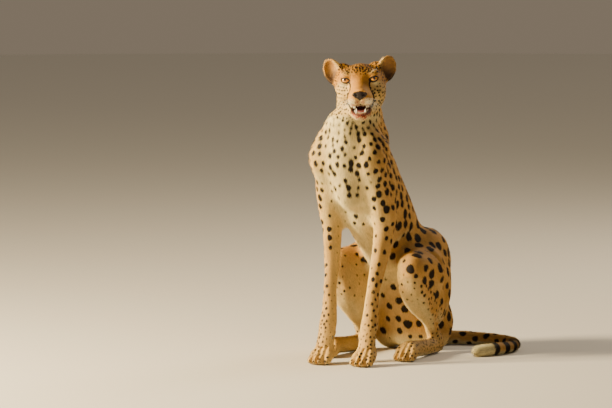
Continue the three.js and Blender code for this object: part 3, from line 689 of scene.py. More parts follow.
def paw_details(grid):
    """Clefts between the toes."""
    for (x, y), length, splay in (FORE_TOES, HIND_TOES):
        clefts = [[
            [x + i * splay * 0.7, y + 8, 62, 0.3], [x + i * splay * 0.92, y - length * 0.42, 46, 3.0],
            [x + i * splay, y - length * 0.8, 30, 4.6], [x + i * splay * 1.02, y - length * 1.02, 16, 6.0],
            [x + i * splay * 1.02, y - length * 1.1, 2, 6.0],
        ] for i in (-1, 0, 1)]

        def shape(value, points):
            p = pair(to_body(points))
            return carve(value, np.minimum.reduce([path(p, cleft) for cleft in clefts]), 5)

        for side in SIDES.values():
            grid.reshape_near(from_body([x * side, y - length * 0.5, 25]), 52 * MM, shape)



# Hollows between the muscles of the left side: how far back and up their stations lie, their radius and depth.
MUSCLE_LINES = [
    ([[-172, 640], [-150, 590], [-128, 520], [-118, 455]], 15, 2.6),  # between shoulder and upper arm
    ([[-20, 650], [-34, 590], [-44, 520], [-52, 450]], 20, 3.6),  # behind the shoulder
    ([[-74, 690], [-92, 640], [-110, 600]], 14, 2.2),  # along the shoulder blade
    ([[-118, 392], [-128, 330], [-142, 260], [-154, 190]], 9, 1.8),  # outside of the forearm
    ([[20, 322], [70, 352], [124, 356]], 16, 3.0),  # fold of the flank
    ([[92, 306], [130, 250], [160, 190], [178, 140]], 16, 2.8),  # down the thigh
    ([[30, 250], [64, 190], [92, 140]], 12, 2.2),  # between thigh and calf
    ([[142, 98], [160, 84]], 8, 2.2),  # before the heel's tendon
]


def muscle_hollows(grid):
    """Shallow hollows along MUSCLE_LINES, on both sides."""
    for stations, radius, depth in MUSCLE_LINES:
        line = []
        for back, up in stations:
            across = np.arange(190, 30, -1.0)
            places = from_body(np.stack([across, np.full_like(across, back), np.full_like(across, up)], axis=-1))
            place = places[np.argmax(grid.value_at(places) < 0)][None]
            centre_line = to_body(place + grid.outward(place) * (radius - depth) * MM)[0]
            line.append([*centre_line, radius])
        line[0][3] = line[-1][3] = radius - depth
        line = np.array(line)
        reach = (np.ptp(line[:, :3], axis=0).max() / 2 + radius + 8) * MM

        def hollow(value, points):
            return carve(value, path(pair(to_body(points)), line), 12)

        middle = (line[:, :3].max(0) + line[:, :3].min(0)) / 2
        for side in SIDES.values():
            grid.reshape_near(from_body(middle * [side, 1, 1]), reach, hollow)


NECK_HALF = 64.5  # mm from the head's middle plane to the neck's side
NECK_FLARE_FROM, NECK_FLARE = 79, 1.15  # mm below the eyes where the neck leans out, and how steeply
NECK_MIDDLE, NECK_ROUNDING = -20, 0.0022  # where the wall stands out most, in mm forward, and how round it is


def throat_latch(grid):
    """Narrows the neck behind the jaw, on the animal's right: all beyond a rounded wall is cut away.

    The wall stands NECK_HALF from the head's middle plane, frees the cheek bone and the ear above, and leans out
    to the shoulder below NECK_FLARE_FROM.
    """
    everywhere = grid.window(grid.start * grid.cell - 1, (grid.start + grid.shape) * grid.cell + 1)
    p = to_head(grid.points(everywhere))
    low = EYE_AT[2] - p[..., 2]
    shoulder = NECK_FLARE * np.logaddexp(0, (low - NECK_FLARE_FROM) / 3) * 3
    cheek_bone, ear = 14 * smooth(42, 14, low), 110 * smooth(16, 2, low)
    rounding = NECK_ROUNDING * np.minimum(np.abs(p[..., 1] - NECK_MIDDLE), 70) ** 2
    wall = NECK_HALF + 0.06 * low + shoulder + cheek_bone + ear - rounding
    grid.values = (carve(grid.values / MM, wall + p[..., 0], 12) * MM).astype(np.float32)

# ------------------------------------------------------------------ where each look lies, on the skin and in the coat

CREAM, WHITE = (0.80, 0.55, 0.19), (0.87, 0.73, 0.37)
BUFF, TAWNY, GOLD = (0.60, 0.32, 0.080), (0.47, 0.22, 0.045), (0.54, 0.24, 0.032)
BLACK = (0.014, 0.010, 0.008)
# The dark line from the eye to the mouth, as left, up, depth below the surface and half width.
TEAR_LINE = [
    [30, 9.5, 0, 2.8], [27, 3, 0, 3.0], [26, -9, 0, 2.7], [30.5, -21, 0, 2.6], [36.5, -32, 0, 2.8],
    [38.5, -44, 0, 2.5], [36, -55, 0, 2.3], [29, -65, 0, 2.4],
]
# The tail's middle line in the animal's frame.
TAIL = [
    [0, 282, 72], [6, 332, 44], [34, 384, 25], [92, 428, 20], [166, 440, 18.5], [236, 414, 17.5], [286, 356, 17.5],
    [304, 282, 18], [292, 208, 18.5], [262, 148, 16.5],
]
# An ear's middle in the head, how far it leans out and how far it is turned out, in degrees, and its half sizes.
EAR_AT, EAR_LEAN, EAR_TURN, EAR_SIZE = np.array([75.0, -14.0, 38.5]), 20.0, 28.0, np.array([30, 15, 39])
PALE_TIP = 50.0  # mm of the tail
# Short dark streaks of the forehead and the crown: left and up of each one's ends, and its half width, in mm.
STREAKS = [
    [[-4, 64], [-6, 33], 3.0], [[-33, 41], [-32, 31], 2.0], [[27, 42], [25, 32], 1.9], [[9, 50], [8, 41], 1.5],
    [[-18, 52], [-17, 45], 1.5], [[-22, 64], [-20, 57], 1.7], [[-9, 66], [-9, 60], 1.8], [[3, 66], [3, 57], 1.9],
    [[14, 66], [13, 59], 1.7], [[25, 63], [23, 56], 1.8], [[36, 58], [33, 50], 1.7], [[-36, 57], [-33, 50], 1.6],
]
STAIN = (0.30, 0.026, 0.015)
STAINED = [  # left, up and size of the places about the mouth that are stained, and how much
    [-26, -62, 13, 1.0], [-12, -84, 14, 0.95], [6, -87, 15, 1.0], [-9, -50, 9, 0.7], [8, -49, 8, 0.65],
    [21, -80, 11, 0.85], [-22, -76, 12, 0.95], [24, -58, 9, 0.5],
]
FACE_SPACING = 9.0
# Left and up of the whiskers' roots, in four rows on each side of the muzzle, in mm.
WHISKER_ROOTS = [
    (13 + 4.4 * k, -36 - 4.2 * row - 0.9 * k, row, k) for row in range(4) for k in range(5 - row % 2)
]


def mix(a, b, share):
    """A share of b in a, for each place."""
    return np.asarray(a) + (np.asarray(b) - np.asarray(a)) * np.asarray(share)[..., None]


def bump(x, middle, width):
    """1 at the middle, falling to 0 about a width away."""
    return np.exp(-((x - middle) / width) ** 2)


def ear_place(p):
    """Places in the head as seen from an ear: across its face, forward and up, in shares of its size."""
    q = pair(p) - EAR_AT
    lean = np.array(Matrix.Rotation(math.radians(EAR_LEAN), 3, "Y") @ Matrix.Rotation(math.radians(EAR_TURN), 3, "Z"))
    return (q * [1, -1, 1]) @ lean * [1, -1, 1] / EAR_SIZE


def along_tail(points):
    """How far along the tail's middle line points lie, in mm, and the line's way there."""
    line = np.array(TAIL, float)
    fine = np.array([
        (1 - t) * a + t * b for a, b in zip(line, line[1:]) for t in np.arange(0, 1, 0.125)
    ] + [line[-1]])
    for _ in range(6):
        fine[1:-1] = (fine[:-2] + fine[2:] + 2 * fine[1:-1]) / 4
    step = np.diff(fine, axis=0)
    length = np.concatenate([[0], np.cumsum(np.linalg.norm(step, axis=1))])
    p = to_body(points)
    best, place, way = np.full(len(p), 1e9), np.zeros(len(p)), np.zeros((len(p), 3))
    for i, u in enumerate(step):
        t = np.clip((p - fine[i]) @ u / (u @ u), 0, 1)
        far = np.linalg.norm(p - fine[i] - t[:, None] * u, axis=1)
        near = far < best
        best[near], place[near], way[near] = far[near], length[i] + t[near] * np.linalg.norm(u), u
    return place, unit(way), length[-1]


def is_one_of(owner, *names):
    """Which places belong to a node whose name starts with one of the names."""
    numbers = [i for i, node in enumerate(FLESH) if node.startswith(names)]
    return np.isin(owner, numbers)


class Places:
    """Points of the coat or the skin, with their ways out and the nodes they belong to."""

    def __init__(self, points, normals, owner):
        self.points, self.normals, self.owner = points, normals, owner
        self.body, self.head = to_body(points), to_head(points)
        self.facing = normals @ HEAD_TURN  # left, forward and up in the head
        self.on_tail = is_one_of(owner, "tail")
        self.on_ear = is_one_of(owner, "ear")
        self.on_head = is_one_of(owner, "head", "lower_jaw", "nose")
        self.low_leg = is_one_of(owner, "forearm", "shank")
        self.paw = is_one_of(owner, "forepaw", "hindfoot")
        self.tail_at, self.tail_way, self.tail_length = along_tail(points)
        self.headness = smooth(30, -30, past_neck(points))


def nose_leather(p):
    """How far inside the nose's bare skin places in the head lie, in mm."""
    left, forward, up = np.abs(p[..., 0]), p[..., 1], p[..., 2]
    half = np.interp(
        up, [-47, -44, -41.5, -38.5, -34, -30, -26, -21.5, -18.5, -15.5], [-6, 1, 4, 8.5, 16, 20.5, 21.5, 18.5, 8, -6],
    )
    return np.minimum(half - left, forward - 97)


def ground_colour(at):
    """The colour of the fur between the spots."""
    body, n = at.body, at.normals
    side = np.sign(body[:, 0] + 1e-6)
    colour = np.tile(np.array(BUFF), (len(body), 1))
    back = smooth(0.05, 0.75, n[:, 1] * 0.75 + n[:, 2] * 0.65)
    colour = mix(colour, TAWNY, back * 0.9)
    front = smooth(-0.05, 0.8, -n[:, 1]) * smooth(135, 60, np.abs(body[:, 0])) * smooth(330, 430, body[:, 2])
    colour = mix(colour, CREAM, front)
    colour = mix(colour, WHITE, front * 0.6 * smooth(70, 20, np.abs(body[:, 0])))
    inner = smooth(0.35, 0.9, -n[:, 0] * side) * smooth(520, 420, body[:, 2])
    colour = mix(colour, CREAM, inner * 0.85)
    under = smooth(0.15, 0.75, -n[:, 2]) * (1 - at.headness)
    colour = mix(colour, WHITE, under * 0.8)
    colour = mix(colour, CREAM, at.paw * 0.35 + at.low_leg * 0.25 * smooth(0, 0.8, -n[:, 1]))

    p, f = at.head, at.facing
    left, forward, up = np.abs(p[:, 0]), p[:, 1], p[:, 2]
    face = np.tile(np.array(GOLD), (len(p), 1))
    face = mix(face, BUFF, smooth(30, 75, -forward) * 0.7)
    cheek = smooth(6, -18, up) * smooth(14, 32, left)
    before = smooth(0.55, -0.1, n[:, 1]) * smooth(-95, -50, forward)
    face = mix(face, CREAM, cheek * 0.8 * before)
    face = mix(face, CREAM, smooth(-34, -46, up) * before)
    under_eye = bump(up, 1, 8) * bump(left, 44, 17) * smooth(10, 30, forward)
    face = mix(face, WHITE, under_eye * 0.85)
    face = mix(face, CREAM, bump(up, 33, 6) * bump(left, 33, 12) * 0.55 * smooth(20, 36, forward))
    face = mix(face, WHITE, smooth(-78, -90, up) * 0.8)
    face = mix(face, WHITE, bump(up, -50, 10) * smooth(70, 95, forward) * 0.75)
    face = mix(face, TAWNY, bump(left, 0, 12) * bump(up, -12, 14) * smooth(60, 90, forward) * 0.6)
    face = mix(face, GOLD, smooth(42, 32, left) * smooth(-50, -32, up) * smooth(45, 65, forward) * 0.8)
    face = mix(face, BUFF, (1 - before) * smooth(30, -20, up) * 0.8)
    for at_left, at_up, size, share in STAINED:
        far = np.hypot(p[:, 0] - at_left, up - at_up) / size
        drips = np.sin(1.1 * p[:, 0] + 0.3 * up) + np.sin(0.5 * p[:, 0] - 0.9 * up) + np.sin(0.8 * forward - 0.7 * up)
        drips = 0.85 + 0.2 * drips
        face = mix(face, STAIN, share * smooth(1.15, 0.35, far) * drips * smooth(60, 75, forward))
    colour = mix(colour, face, at.headness)

    ear = ear_place(p)
    rim = smooth(0.70, 1.0, np.hypot(ear[:, 0], ear[:, 2]))
    inside = smooth(-0.1, 0.3, f[:, 1])
    hollow = mix((0.46, 0.23, 0.065), BUFF, np.clip(rim, 0, 1) * 0.9)
    deep = smooth(0.35, -0.4, ear[:, 2]) * smooth(1.1, 0.3, np.abs(ear[:, 0] - 0.15))
    hollow = mix(hollow, (0.09, 0.045, 0.024), deep * 0.92)
    edge = smooth(0.72, 0.92, np.hypot(ear[:, 0], ear[:, 2])) * smooth(0.15, 0.5, ear[:, 0])
    hollow = mix(hollow, BLACK, edge * smooth(0.25, -0.2, ear[:, 2]) * smooth(-0.95, -0.8, ear[:, 2]))
    hollow = mix(hollow, CREAM, smooth(-0.4, -0.7, ear[:, 0]) * smooth(-0.8, -0.4, ear[:, 2]) * 0.6)
    behind = mix(BLACK, BUFF, smooth(0.72, 0.95, ear[:, 2]))
    behind = mix(behind, BUFF, smooth(-0.35, -0.8, ear[:, 2]))
    ears = behind + (hollow - behind) * np.clip(inside + rim * smooth(-0.75, -0.1, f[:, 1]), 0, 1)[:, None]
    colour = np.where(at.on_ear[:, None], ears, colour)

    tail = mix(BUFF, WHITE, smooth(0.0, -0.8, n[:, 2]))
    tail = mix(tail, WHITE, smooth(at.tail_length - 60, at.tail_length - 40, at.tail_at))
    return np.where(at.on_tail[:, None], tail, colour)


def spot_spacing(at):
    """How far apart the spots lie, in mm, and their size as a share of that."""
    body, n = at.body, at.normals
    x, z = np.abs(body[:, 0]), body[:, 2]
    fore = smooth(-20, -90, body[:, 1])
    spacing = 20.5 + 3 * smooth(640, 540, z) + 7 * smooth(500, 380, z) + 3 * (1 - fore) * smooth(640, 540, z)
    spacing = spacing - 2 * smooth(640, 700, z)
    size = np.full(len(z), 0.30) + 0.02 * smooth(540, 420, z)
    spacing = np.where(at.low_leg, 16 + 12 * smooth(130, 330, z), spacing)
    spacing = np.where(at.paw, 12.0, spacing)
    size = np.where(at.low_leg | at.paw, 0.23, size)
    inner = smooth(0.1, 0.7, -n[:, 0] * np.sign(body[:, 0])) * smooth(600, 440, z)
    under = smooth(0.3, 0.8, -n[:, 2])
    throat = smooth(0.45, 0.9, -n[:, 1]) * smooth(30, 12, x) * smooth(560, 640, z) * 0.2
    size = size * (1 - np.clip(inner * 0.7 + under + throat, 0, 1) * (~at.on_tail))
    spacing = np.where(at.on_tail, 26.0, spacing)
    spacing = spacing + (17 - spacing) * smooth(0.0, 0.75, at.headness) * (~at.on_tail)

    p = at.head
    left, forward, up = np.abs(p[:, 0]), p[:, 1], p[:, 2]
    face = np.where(up > 22, 8.0, FACE_SPACING + 1.5 * smooth(20, -40, forward))
    face_size = np.where(up > 22, 0.27, 0.265)
    bare = smooth(26, 18, np.hypot(left - 40, (up - 13) * 1.25)) + smooth(16, 8, left) * smooth(26, 16, up)
    bare = bare + smooth(62, 72, forward) + smooth(30, 22, left) * smooth(34, 20, up)
    face_size = face_size * (1 - np.clip(bare, 0, 1))
    on_face = at.on_head & (forward > -50)
    spacing, size = np.where(on_face, face, spacing), np.where(on_face, face_size, size)
    size = np.where(at.on_ear, 0, size)
    return spacing, size


SPOT_TRIES = 26_000
CLOSEST = 0.86  # the least gap between spots, as a share of their spacing
SMALLEST_SPOT = 0.6  # mm


def scattered(points, normals, owner, triangles, random):
    """Spots scattered over the skin, evenly for their spacing: places, sizes and their own ways."""
    a, b, c = (points[triangles[:, i]] for i in range(3))
    area = np.linalg.norm(np.cross(b - a, c - a), axis=1)
    spacing, _ = spot_spacing(Places(points, normals, owner))
    weight = area / spacing[triangles[:, 0]] ** 2
    chosen = random.choice(len(triangles), SPOT_TRIES, p=weight / weight.sum())
    share = random.dirichlet([1, 1, 1], len(chosen))
    place = np.einsum("ij,ijk->ik", share, points[triangles[chosen]])
    first = triangles[chosen, 0]
    spacing, size = spot_spacing(Places(place, normals[first], owner[first]))
    spacing = spacing * MM
    kept = []
    cells = {}  # the spots kept so far, by the cube that each lies in
    reach = 40 * MM
    for i in range(len(place)):
        x, y, z = (place[i] // reach).astype(int).tolist()
        near = [j for u, v, w in np.ndindex(3, 3, 3) for j in cells.get((x + u - 1, y + v - 1, z + w - 1), ())]
        if near:
            gap = np.linalg.norm(place[near] - place[i], axis=1)
            if (gap < np.minimum(spacing[i], spacing[near]) * CLOSEST).any():
                continue
        kept.append(i)
        cells.setdefault((x, y, z), []).append(i)
    kept = np.array(kept)
    radius = spacing[kept] * size[kept] * random.uniform(0.78, 1.22, len(kept))
    alive = radius > SMALLEST_SPOT * MM
    return place[kept][alive], radius[alive], normals[first[kept]][alive]


class Spots:
    """The coat's spots: how far inside the nearest one a point lies."""

    def __init__(self, places, radii, normals, flow, random):
        self.places, self.radii = places, radii
        self.along = unit(flow - normals * (flow * normals).sum(1, keepdims=True))
        self.across = np.cross(normals, self.along)
        self.lobes = random.uniform(-1, 1, (len(places), 6))
        place = to_head(places)
        self.long = 1.1 + 0.7 * smooth(30, 45, place[:, 2]) * smooth(-60, -20, place[:, 1])
        self.tree = kdtree.KDTree(len(places))
        for i, p in enumerate(places):
            self.tree.insert(p.tolist(), i)
        self.tree.balance()

    def inside(self, points):
        """In mm, above 0 inside a spot."""
        best = np.full(len(points), -20.0)
        near = np.array([[hit[1] for hit in self.tree.find_n(p, 2)] for p in points.tolist()])
        for column in near.T:
            away = points - self.places[column]
            u, v = (away * self.along[column]).sum(1), (away * self.across[column]).sum(1)
            turn = np.arctan2(v, u)
            lobe = self.lobes[column]
            edge = 1 + 0.10 * lobe[:, 0] * np.cos(2 * turn) + 0.09 * lobe[:, 1] * np.sin(2 * turn) + 0.05
            edge += 0.07 * lobe[:, 2] * np.cos(3 * turn) + 0.07 * lobe[:, 3] * np.sin(3 * turn)
            edge += 0.04 * lobe[:, 4] * np.cos(5 * turn) + 0.04 * lobe[:, 5] * np.sin(4 * turn)
            depth = np.linalg.norm(away, axis=1) ** 2 - u ** 2 - v ** 2
            far = np.sqrt((u / self.long[column]) ** 2 + v ** 2 + depth * 0.3)
            best = np.maximum(best, (self.radii[column] * edge - far) / MM)
        return best


def marks(at, spots):
    """How far inside black fur places lie, in mm, above 0 inside."""
    inside = np.where(at.on_ear, -20, spots.inside(at.points))
    ringed = smooth(at.tail_length * 0.60, at.tail_length * 0.66, at.tail_at)
    phase = (at.tail_at - at.tail_length * 0.62) / 46
    ring = (np.cos(2 * np.pi * phase) - 0.05 + 0.5 * at.normals[:, 2] * 0.3) * 46 / (2 * np.pi)
    ring = np.where(at.tail_at > at.tail_length - PALE_TIP, -5, ring)
    inside = np.where(at.on_tail & (ringed > 0.5), ring, inside)
    near_face = at.headness > 0.9
    p = pair(at.head)
    tear = -path(p[near_face], TEAR_PATH)
    inside[near_face] = np.maximum(inside[near_face], tear)
    for streak in STREAK_PATHS:
        inside[near_face] = np.maximum(inside[near_face], -path(at.head[near_face], streak))
    q = (p - EYE_AT) @ eye_axes().T
    far = np.linalg.norm(q, axis=1)
    liner = np.where(near_face & (far < EYE_RADIUS + 7) & (q[:, 1] > 0), 2.5 - eye_opening(q), -20)
    inside = np.maximum(inside, liner)
    lips = np.full(len(p), -20.0)
    close = near_face & (np.linalg.norm(at.head - MOUTH_AT, axis=1) < 60)
    if close.any():
        gap = np.linalg.norm(at.head[close][:, None] - LIP_EDGE[None], axis=2).min(1)
        lips[close] = 3.0 - gap
    inside = inside + np.where(inside > -1.5, np.where(at.on_head, 0.35, 0.5), 0)
    muzzle = np.flatnonzero(near_face & (at.head[:, 1] > 60) & (at.head[:, 2] < -28) & (at.head[:, 2] > -60))
    for left, up, _, _ in WHISKER_ROOTS:
        gap = np.hypot(p[muzzle, 0] - left, p[muzzle, 2] - up)
        inside[muzzle] = np.maximum(inside[muzzle], 0.55 - gap)
    return np.maximum(inside, lips)


def bare_skin(at):
    """Shares of leather on the nose and toes, and of the mouth's wet inside."""
    near_face = at.headness > 0.9
    leather = np.where(near_face, smooth(-0.8, 0.8, nose_leather(at.head)), 0)
    leather = np.maximum(leather, at.paw * smooth(-0.45, -0.75, at.normals[:, 2]) * smooth(11, 6, at.body[:, 2]))
    hollow = egg(at.head, MOUTH_AT, MOUTH_SIZE + 2.6, MOUTH_TILT)
    rim = np.full(len(at.head), 50.0)
    close = near_face & (hollow < 6)
    if close.any():
        rim[close] = np.linalg.norm(at.head[close][:, None] - LIP_EDGE[None], axis=2).min(1)
    mouth = np.where(close, smooth(1.5, -0.5, hollow) * smooth(1.5, 3.0, rim), 0)
    return leather, mouth


def ear_fringe(at):
    """How much places belong to the ears' inner front edges, where the long pale hairs grow."""
    ear = ear_place(at.head)
    inner = smooth(-0.35, -0.62, ear[:, 0]) * smooth(-0.75, -0.45, ear[:, 2]) * smooth(0.75, 0.4, ear[:, 2])
    return inner * smooth(-0.1, 0.4, at.facing[:, 1]) * at.on_ear


def shoulder_ruff(at):
    """How much places belong to the tops of the shoulders, where the coat stands up."""
    x, z = np.abs(at.body[:, 0]), at.body[:, 2]
    return smooth(50, 80, x) * smooth(520, 590, z) * smooth(720, 670, z) * (1 - at.headness)


def fullness(at):
    """How long the coat is, as a share of what is usual for the part it is on."""
    body, n, p = at.body, at.normals, at.head
    x, z = np.abs(body[:, 0]), body[:, 2]
    long = 1 + 0.55 * smooth(0.1, 0.7, -n[:, 1]) * smooth(90, 40, x) * smooth(400, 470, z)  # chest
    long += 0.35 * smooth(0.2, 0.8, -n[:, 2]) * smooth(150, 220, z) * (1 - at.headness)  # belly
    long += 0.50 * smooth(0.2, 0.8, n[:, 1]) * smooth(50, 15, x) * smooth(560, 650, z)  # nape
    long += 0.30 * smooth(0.4, 0.9, n[:, 1]) * smooth(260, 200, z) * smooth(40, 80, z) * is_one_of(at.owner, "thigh")
    jaw = bump(p[:, 2], -48, 22) * smooth(50, 15, p[:, 1]) * smooth(30, 48, np.abs(p[:, 0]))
    long += (0.55 * jaw + 0.4 * smooth(-60, -85, p[:, 2]) * smooth(70, 40, p[:, 1])) * at.on_head
    long += 0.35 * smooth(at.tail_length - 70, at.tail_length - 20, at.tail_at) * at.on_tail
    return long + 1.6 * ear_fringe(at) + 0.25 * shoulder_ruff(at)


def lie_of(at):
    """The way the coat lies, before it is laid along the skin."""
    body, n, p = at.body, at.normals, at.head
    way = np.zeros_like(body) + [0.0, 0.45, -0.9]
    side = np.sign(body[:, 0])
    way[:, 0] = 0.12 * side * smooth(60, 10, np.abs(body[:, 0]))
    front = smooth(0.1, 0.8, -n[:, 1])
    way[:, 1] -= 0.45 * front
    way = np.where(at.low_leg[:, None], [0.0, 0.12, -1.0], way)
    shank = is_one_of(at.owner, "shank")
    way = np.where(shank[:, None], [0.0, 0.62, -0.78], way)
    way = np.where(is_one_of(at.owner, "forepaw")[:, None], [0.0, -0.9, -0.5], way)
    way = np.where(is_one_of(at.owner, "hindfoot")[:, None], [0.0, -1.0, -0.12], way)
    way = np.where(is_one_of(at.owner, "neck")[:, None], [0.0, 0.12, -1.0], way)
    way = np.where(at.on_tail[:, None], at.tail_way, way)
    back = p - [0, 118, -20]
    back = back * [1.0, 1.0, 0.85]
    face = unit(back) @ HEAD_TURN.T
    way = np.where(at.on_head[:, None], face, way)
    fringe = ear_fringe(at)[:, None]
    outer = np.sign(p[:, :1]) * [1, 0, 0]
    ear = (outer * 0.45 + [0, 0, 1]) * (1 - fringe) + (outer + [0, 0.2, 0.35]) * fringe
    ear = ear @ HEAD_TURN.T
    way = np.where(at.on_ear[:, None], ear, way)
    return unit(way)

# ------------------------------------------------------------------ materials


class Shading:
    """A material and short ways of adding nodes to it."""

    def __init__(self, name, **settings):
        self.material = bpy.data.materials.new(name)
        self.material.use_nodes = True
        self.tree = self.material.node_tree
        self.shader = self.tree.nodes["Principled BSDF"]
        for socket, value in settings.items():
            self.shader.inputs[socket.replace("_", " ")].default_value = value

    def node(self, kind, *inputs, **settings):
        node = self.tree.nodes.new("ShaderNode" + kind)
        for name, value in settings.items():
            setattr(node, name, value)
        for socket, value in inputs:
            self.put(value, node.inputs[socket])
        return node

    def put(self, value, socket):
        if isinstance(value, bpy.types.NodeSocket):
            self.tree.links.new(value, socket)
        elif isinstance(value, tuple) and len(value) == 3 and socket.type == "RGBA":
            socket.default_value = (*value, 1)
        else:
            socket.default_value = value

    def attribute(self, name, output="Fac"):
        return self.node("Attribute", attribute_name=name).outputs[output]

    def noise(self, scale, detail=3.0, rough=0.55, vector=None):
        """A noise texture, between 0 and 1."""
        node = self.node("TexNoise", ("Scale", scale), ("Detail", detail), ("Roughness", rough))
        if vector is not None:
            self.put(vector, node.inputs["Vector"])
        return node.outputs["Fac"]

    def stepped(self, value, low, high, out_low=0.0, out_high=1.0):
        """The value put from one range into another, held at its ends."""
        node = self.node("MapRange", (0, value), (1, low), (2, high), (3, out_low), (4, out_high))
        return node.outputs[0]

    def sum(self, a, b, operation="ADD"):
        """Two values added, or joined by another operation."""
        return self.node("Math", (0, a), (1, b), operation=operation).outputs[0]

    def mixed(self, share, a, b, blend="MIX"):
        node = self.node("Mix", data_type="RGBA", blend_type=blend)
        for socket, value in ((node.inputs[0], share), (node.inputs[6], a), (node.inputs[7], b)):
            self.put(value, socket)
        return node.outputs[2]

    def bumped(self, height, strength, distance):
        node = self.node("Bump", ("Height", height), ("Strength", strength), ("Distance", distance))
        self.tree.links.new(node.outputs["Normal"], self.shader.inputs["Normal"])

    def done(self, colour, roughness=None):
        """Puts in the colour and the roughness and gives the material."""
        self.put(colour, self.shader.inputs["Base Color"])
        if roughness is not None:
            self.put(roughness, self.shader.inputs["Roughness"])
        return self.material


def coat_colour(look):
    """The colour of fur from what is stored at each vertex, and its share of black."""
    ground = look.attribute("ground", "Color")
    broad = look.stepped(look.noise(9.0, 2.0), 0.3, 0.7, 0.90, 1.08)
    fine = look.stepped(look.noise(420.0, 3.0, 0.7), 0.25, 0.75, 0.80, 1.16)
    shade = look.sum(broad, fine, "MULTIPLY")
    tinted = look.node("VectorMath", (0, ground), ("Scale", shade), operation="SCALE").outputs[0]
    edge = look.sum(look.attribute("mark"), look.stepped(look.noise(260.0, 2.0), 0.3, 0.7, -1.0, 1.0))
    black = look.stepped(edge, -0.9, 0.9)
    ink = look.mixed(look.noise(150.0, 2.0), (0.006, 0.004, 0.004), (0.024, 0.015, 0.010))
    return look.mixed(black, tinted, ink), black


def coat_material():
    """Fur, with painted shade: each tuft darker towards its root, where the tufts shade one another, and paler at its
    tip.
    """
    look = Shading("coat", Specular_IOR_Level=0.18)
    colour, black = coat_colour(look)
    # painted shade: the fur's colour is scaled from 0.76 at a tuft's root up to 1.10 at its tip
    depth = look.stepped(look.attribute("tip"), 0.0, 1.0, 0.76, 1.10)
    depth = look.sum(depth, look.attribute("tone"), "MULTIPLY")
    colour = look.node("VectorMath", (0, colour), ("Scale", depth), operation="SCALE").outputs[0]
    return look.done(colour, look.stepped(look.noise(300.0), 0.2, 0.8, 0.52, 0.68))


def skin_material():
    """The skin: short flat fur, the nose's and the pads' leather, and the wet inside of the mouth."""
    look = Shading("skin", Specular_IOR_Level=0.28)
    colour, black = coat_colour(look)
    leather, mouth = look.attribute("leather"), look.attribute("mouth")
    pores = look.node("TexVoronoi", ("Scale", 620.0), feature="DISTANCE_TO_EDGE").outputs["Distance"]
    hide = look.mixed(look.stepped(pores, 0.0, 0.25), (0.010, 0.007, 0.006), (0.034, 0.022, 0.018))
    colour = look.mixed(leather, colour, hide)
    gum = look.mixed(look.stepped(look.noise(120.0), 0.4, 0.65), (0.17, 0.030, 0.024), (0.030, 0.012, 0.012))
    colour = look.mixed(mouth, colour, gum)
    fur = look.stepped(look.noise(330.0), 0.2, 0.8, 0.58, 0.78)
    gloss = look.sum(fur, look.sum(look.sum(leather, mouth), 0.30, "MULTIPLY"), "SUBTRACT")
    hairs = look.noise(900.0, 3.0, 0.7)
    height = look.mixed(leather, hairs, look.stepped(pores, 0.0, 0.3, 0.0, 0.16))
    look.bumped(height, 0.5, 0.0011)
    return look.done(colour, gloss)


# ------------------------------------------------------------------ the coat's tufts

# For each kind of place: the length, width and lift of its tufts, in mm and degrees, and the area for each, in mm2.
TUFTS = {
    "trunk": (11.5, 1.55, 12, 4.65), "neck": (12.0, 1.5, 14, 4.0), "thigh": (10.5, 1.5, 12, 4.6),
    "forearm": (7.0, 1.15, 12, 2.65), "shank": (7.5, 1.2, 12, 2.9), "forepaw": (3.6, 0.8, 12, 1.6),
    "hindfoot": (4.0, 0.85, 12, 1.75), "tail": (12.0, 1.5, 14, 3.6), "head": (4.6, 0.75, 12, 1.45),
    "lower_jaw": (4.2, 0.7, 13, 1.4), "ear": (4.0, 0.65, 14, 1.35), "nose": (3.0, 0.6, 11, 1.6),
}
TUFT_FACES = np.array([[0, 2, 1], [0, 1, 3], [1, 2, 3], [2, 0, 3]])
PIECE_LIMIT = 48_000  # tufts in one piece


def waves(points, wavelength, random):
    """A smooth random field over the body, mostly between -1 and 1."""
    total = np.zeros(len(points))
    for _ in range(7):
        wave = unit(random.normal(size=3)) * 2 * np.pi / (wavelength * random.uniform(0.6, 1.6))
        total += np.sin(points @ wave + random.uniform(0, 2 * np.pi))
    return total / 7 ** 0.5 / 1.2


def tuft_sizes(owner):
    """The four columns of TUFTS for each place's node."""
    table = np.array([next(v for k, v in TUFTS.items() if node.startswith(k)) for node in FLESH], float)
    return table[owner].T


def sampled(points, triangles, normals, flow, owner, random, share):
    """Roots for the tufts: places on the skin, ways out, ways along it, and the nodes they belong to."""
    a, b, c = (points[triangles[:, i]] for i in range(3))
    area = np.linalg.norm(np.cross(b - a, c - a), axis=1) / 2 / MM ** 2
    each = tuft_sizes(owner[triangles[:, 0]])[3]
    expected = area / each * share
    count = np.floor(expected).astype(int) + (random.random(len(area)) < expected % 1)
    chosen = np.repeat(np.arange(len(triangles)), count)
    u, v = random.random(len(chosen)), random.random(len(chosen))
    over = u + v > 1
    u[over], v[over] = 1 - u[over], 1 - v[over]
    weights = np.stack([1 - u - v, u, v], axis=1)

    def between(values):
        return np.einsum("ij,ijk->ik", weights, values[triangles[chosen]])

    return between(points), unit(between(normals)), unit(between(flow)), owner[triangles[chosen, 0]]


def combed(root, out, way, owner, random):
    """The way, length, width and lift of each tuft, before its place on the face is thought of."""
    count = len(root)
    length, width, lift, _ = tuft_sizes(owner)
    sway = random.normal(0, 0.17, count)
    side = np.cross(out, way)
    way = unit(way * np.cos(sway)[:, None] + side * np.sin(sway)[:, None])
    return (
        way, length * random.uniform(0.7, 1.25, count) * MM, width * random.uniform(0.75, 1.2, count) * MM,
        np.radians(lift * random.uniform(0.4, 1.6, count)),
    )


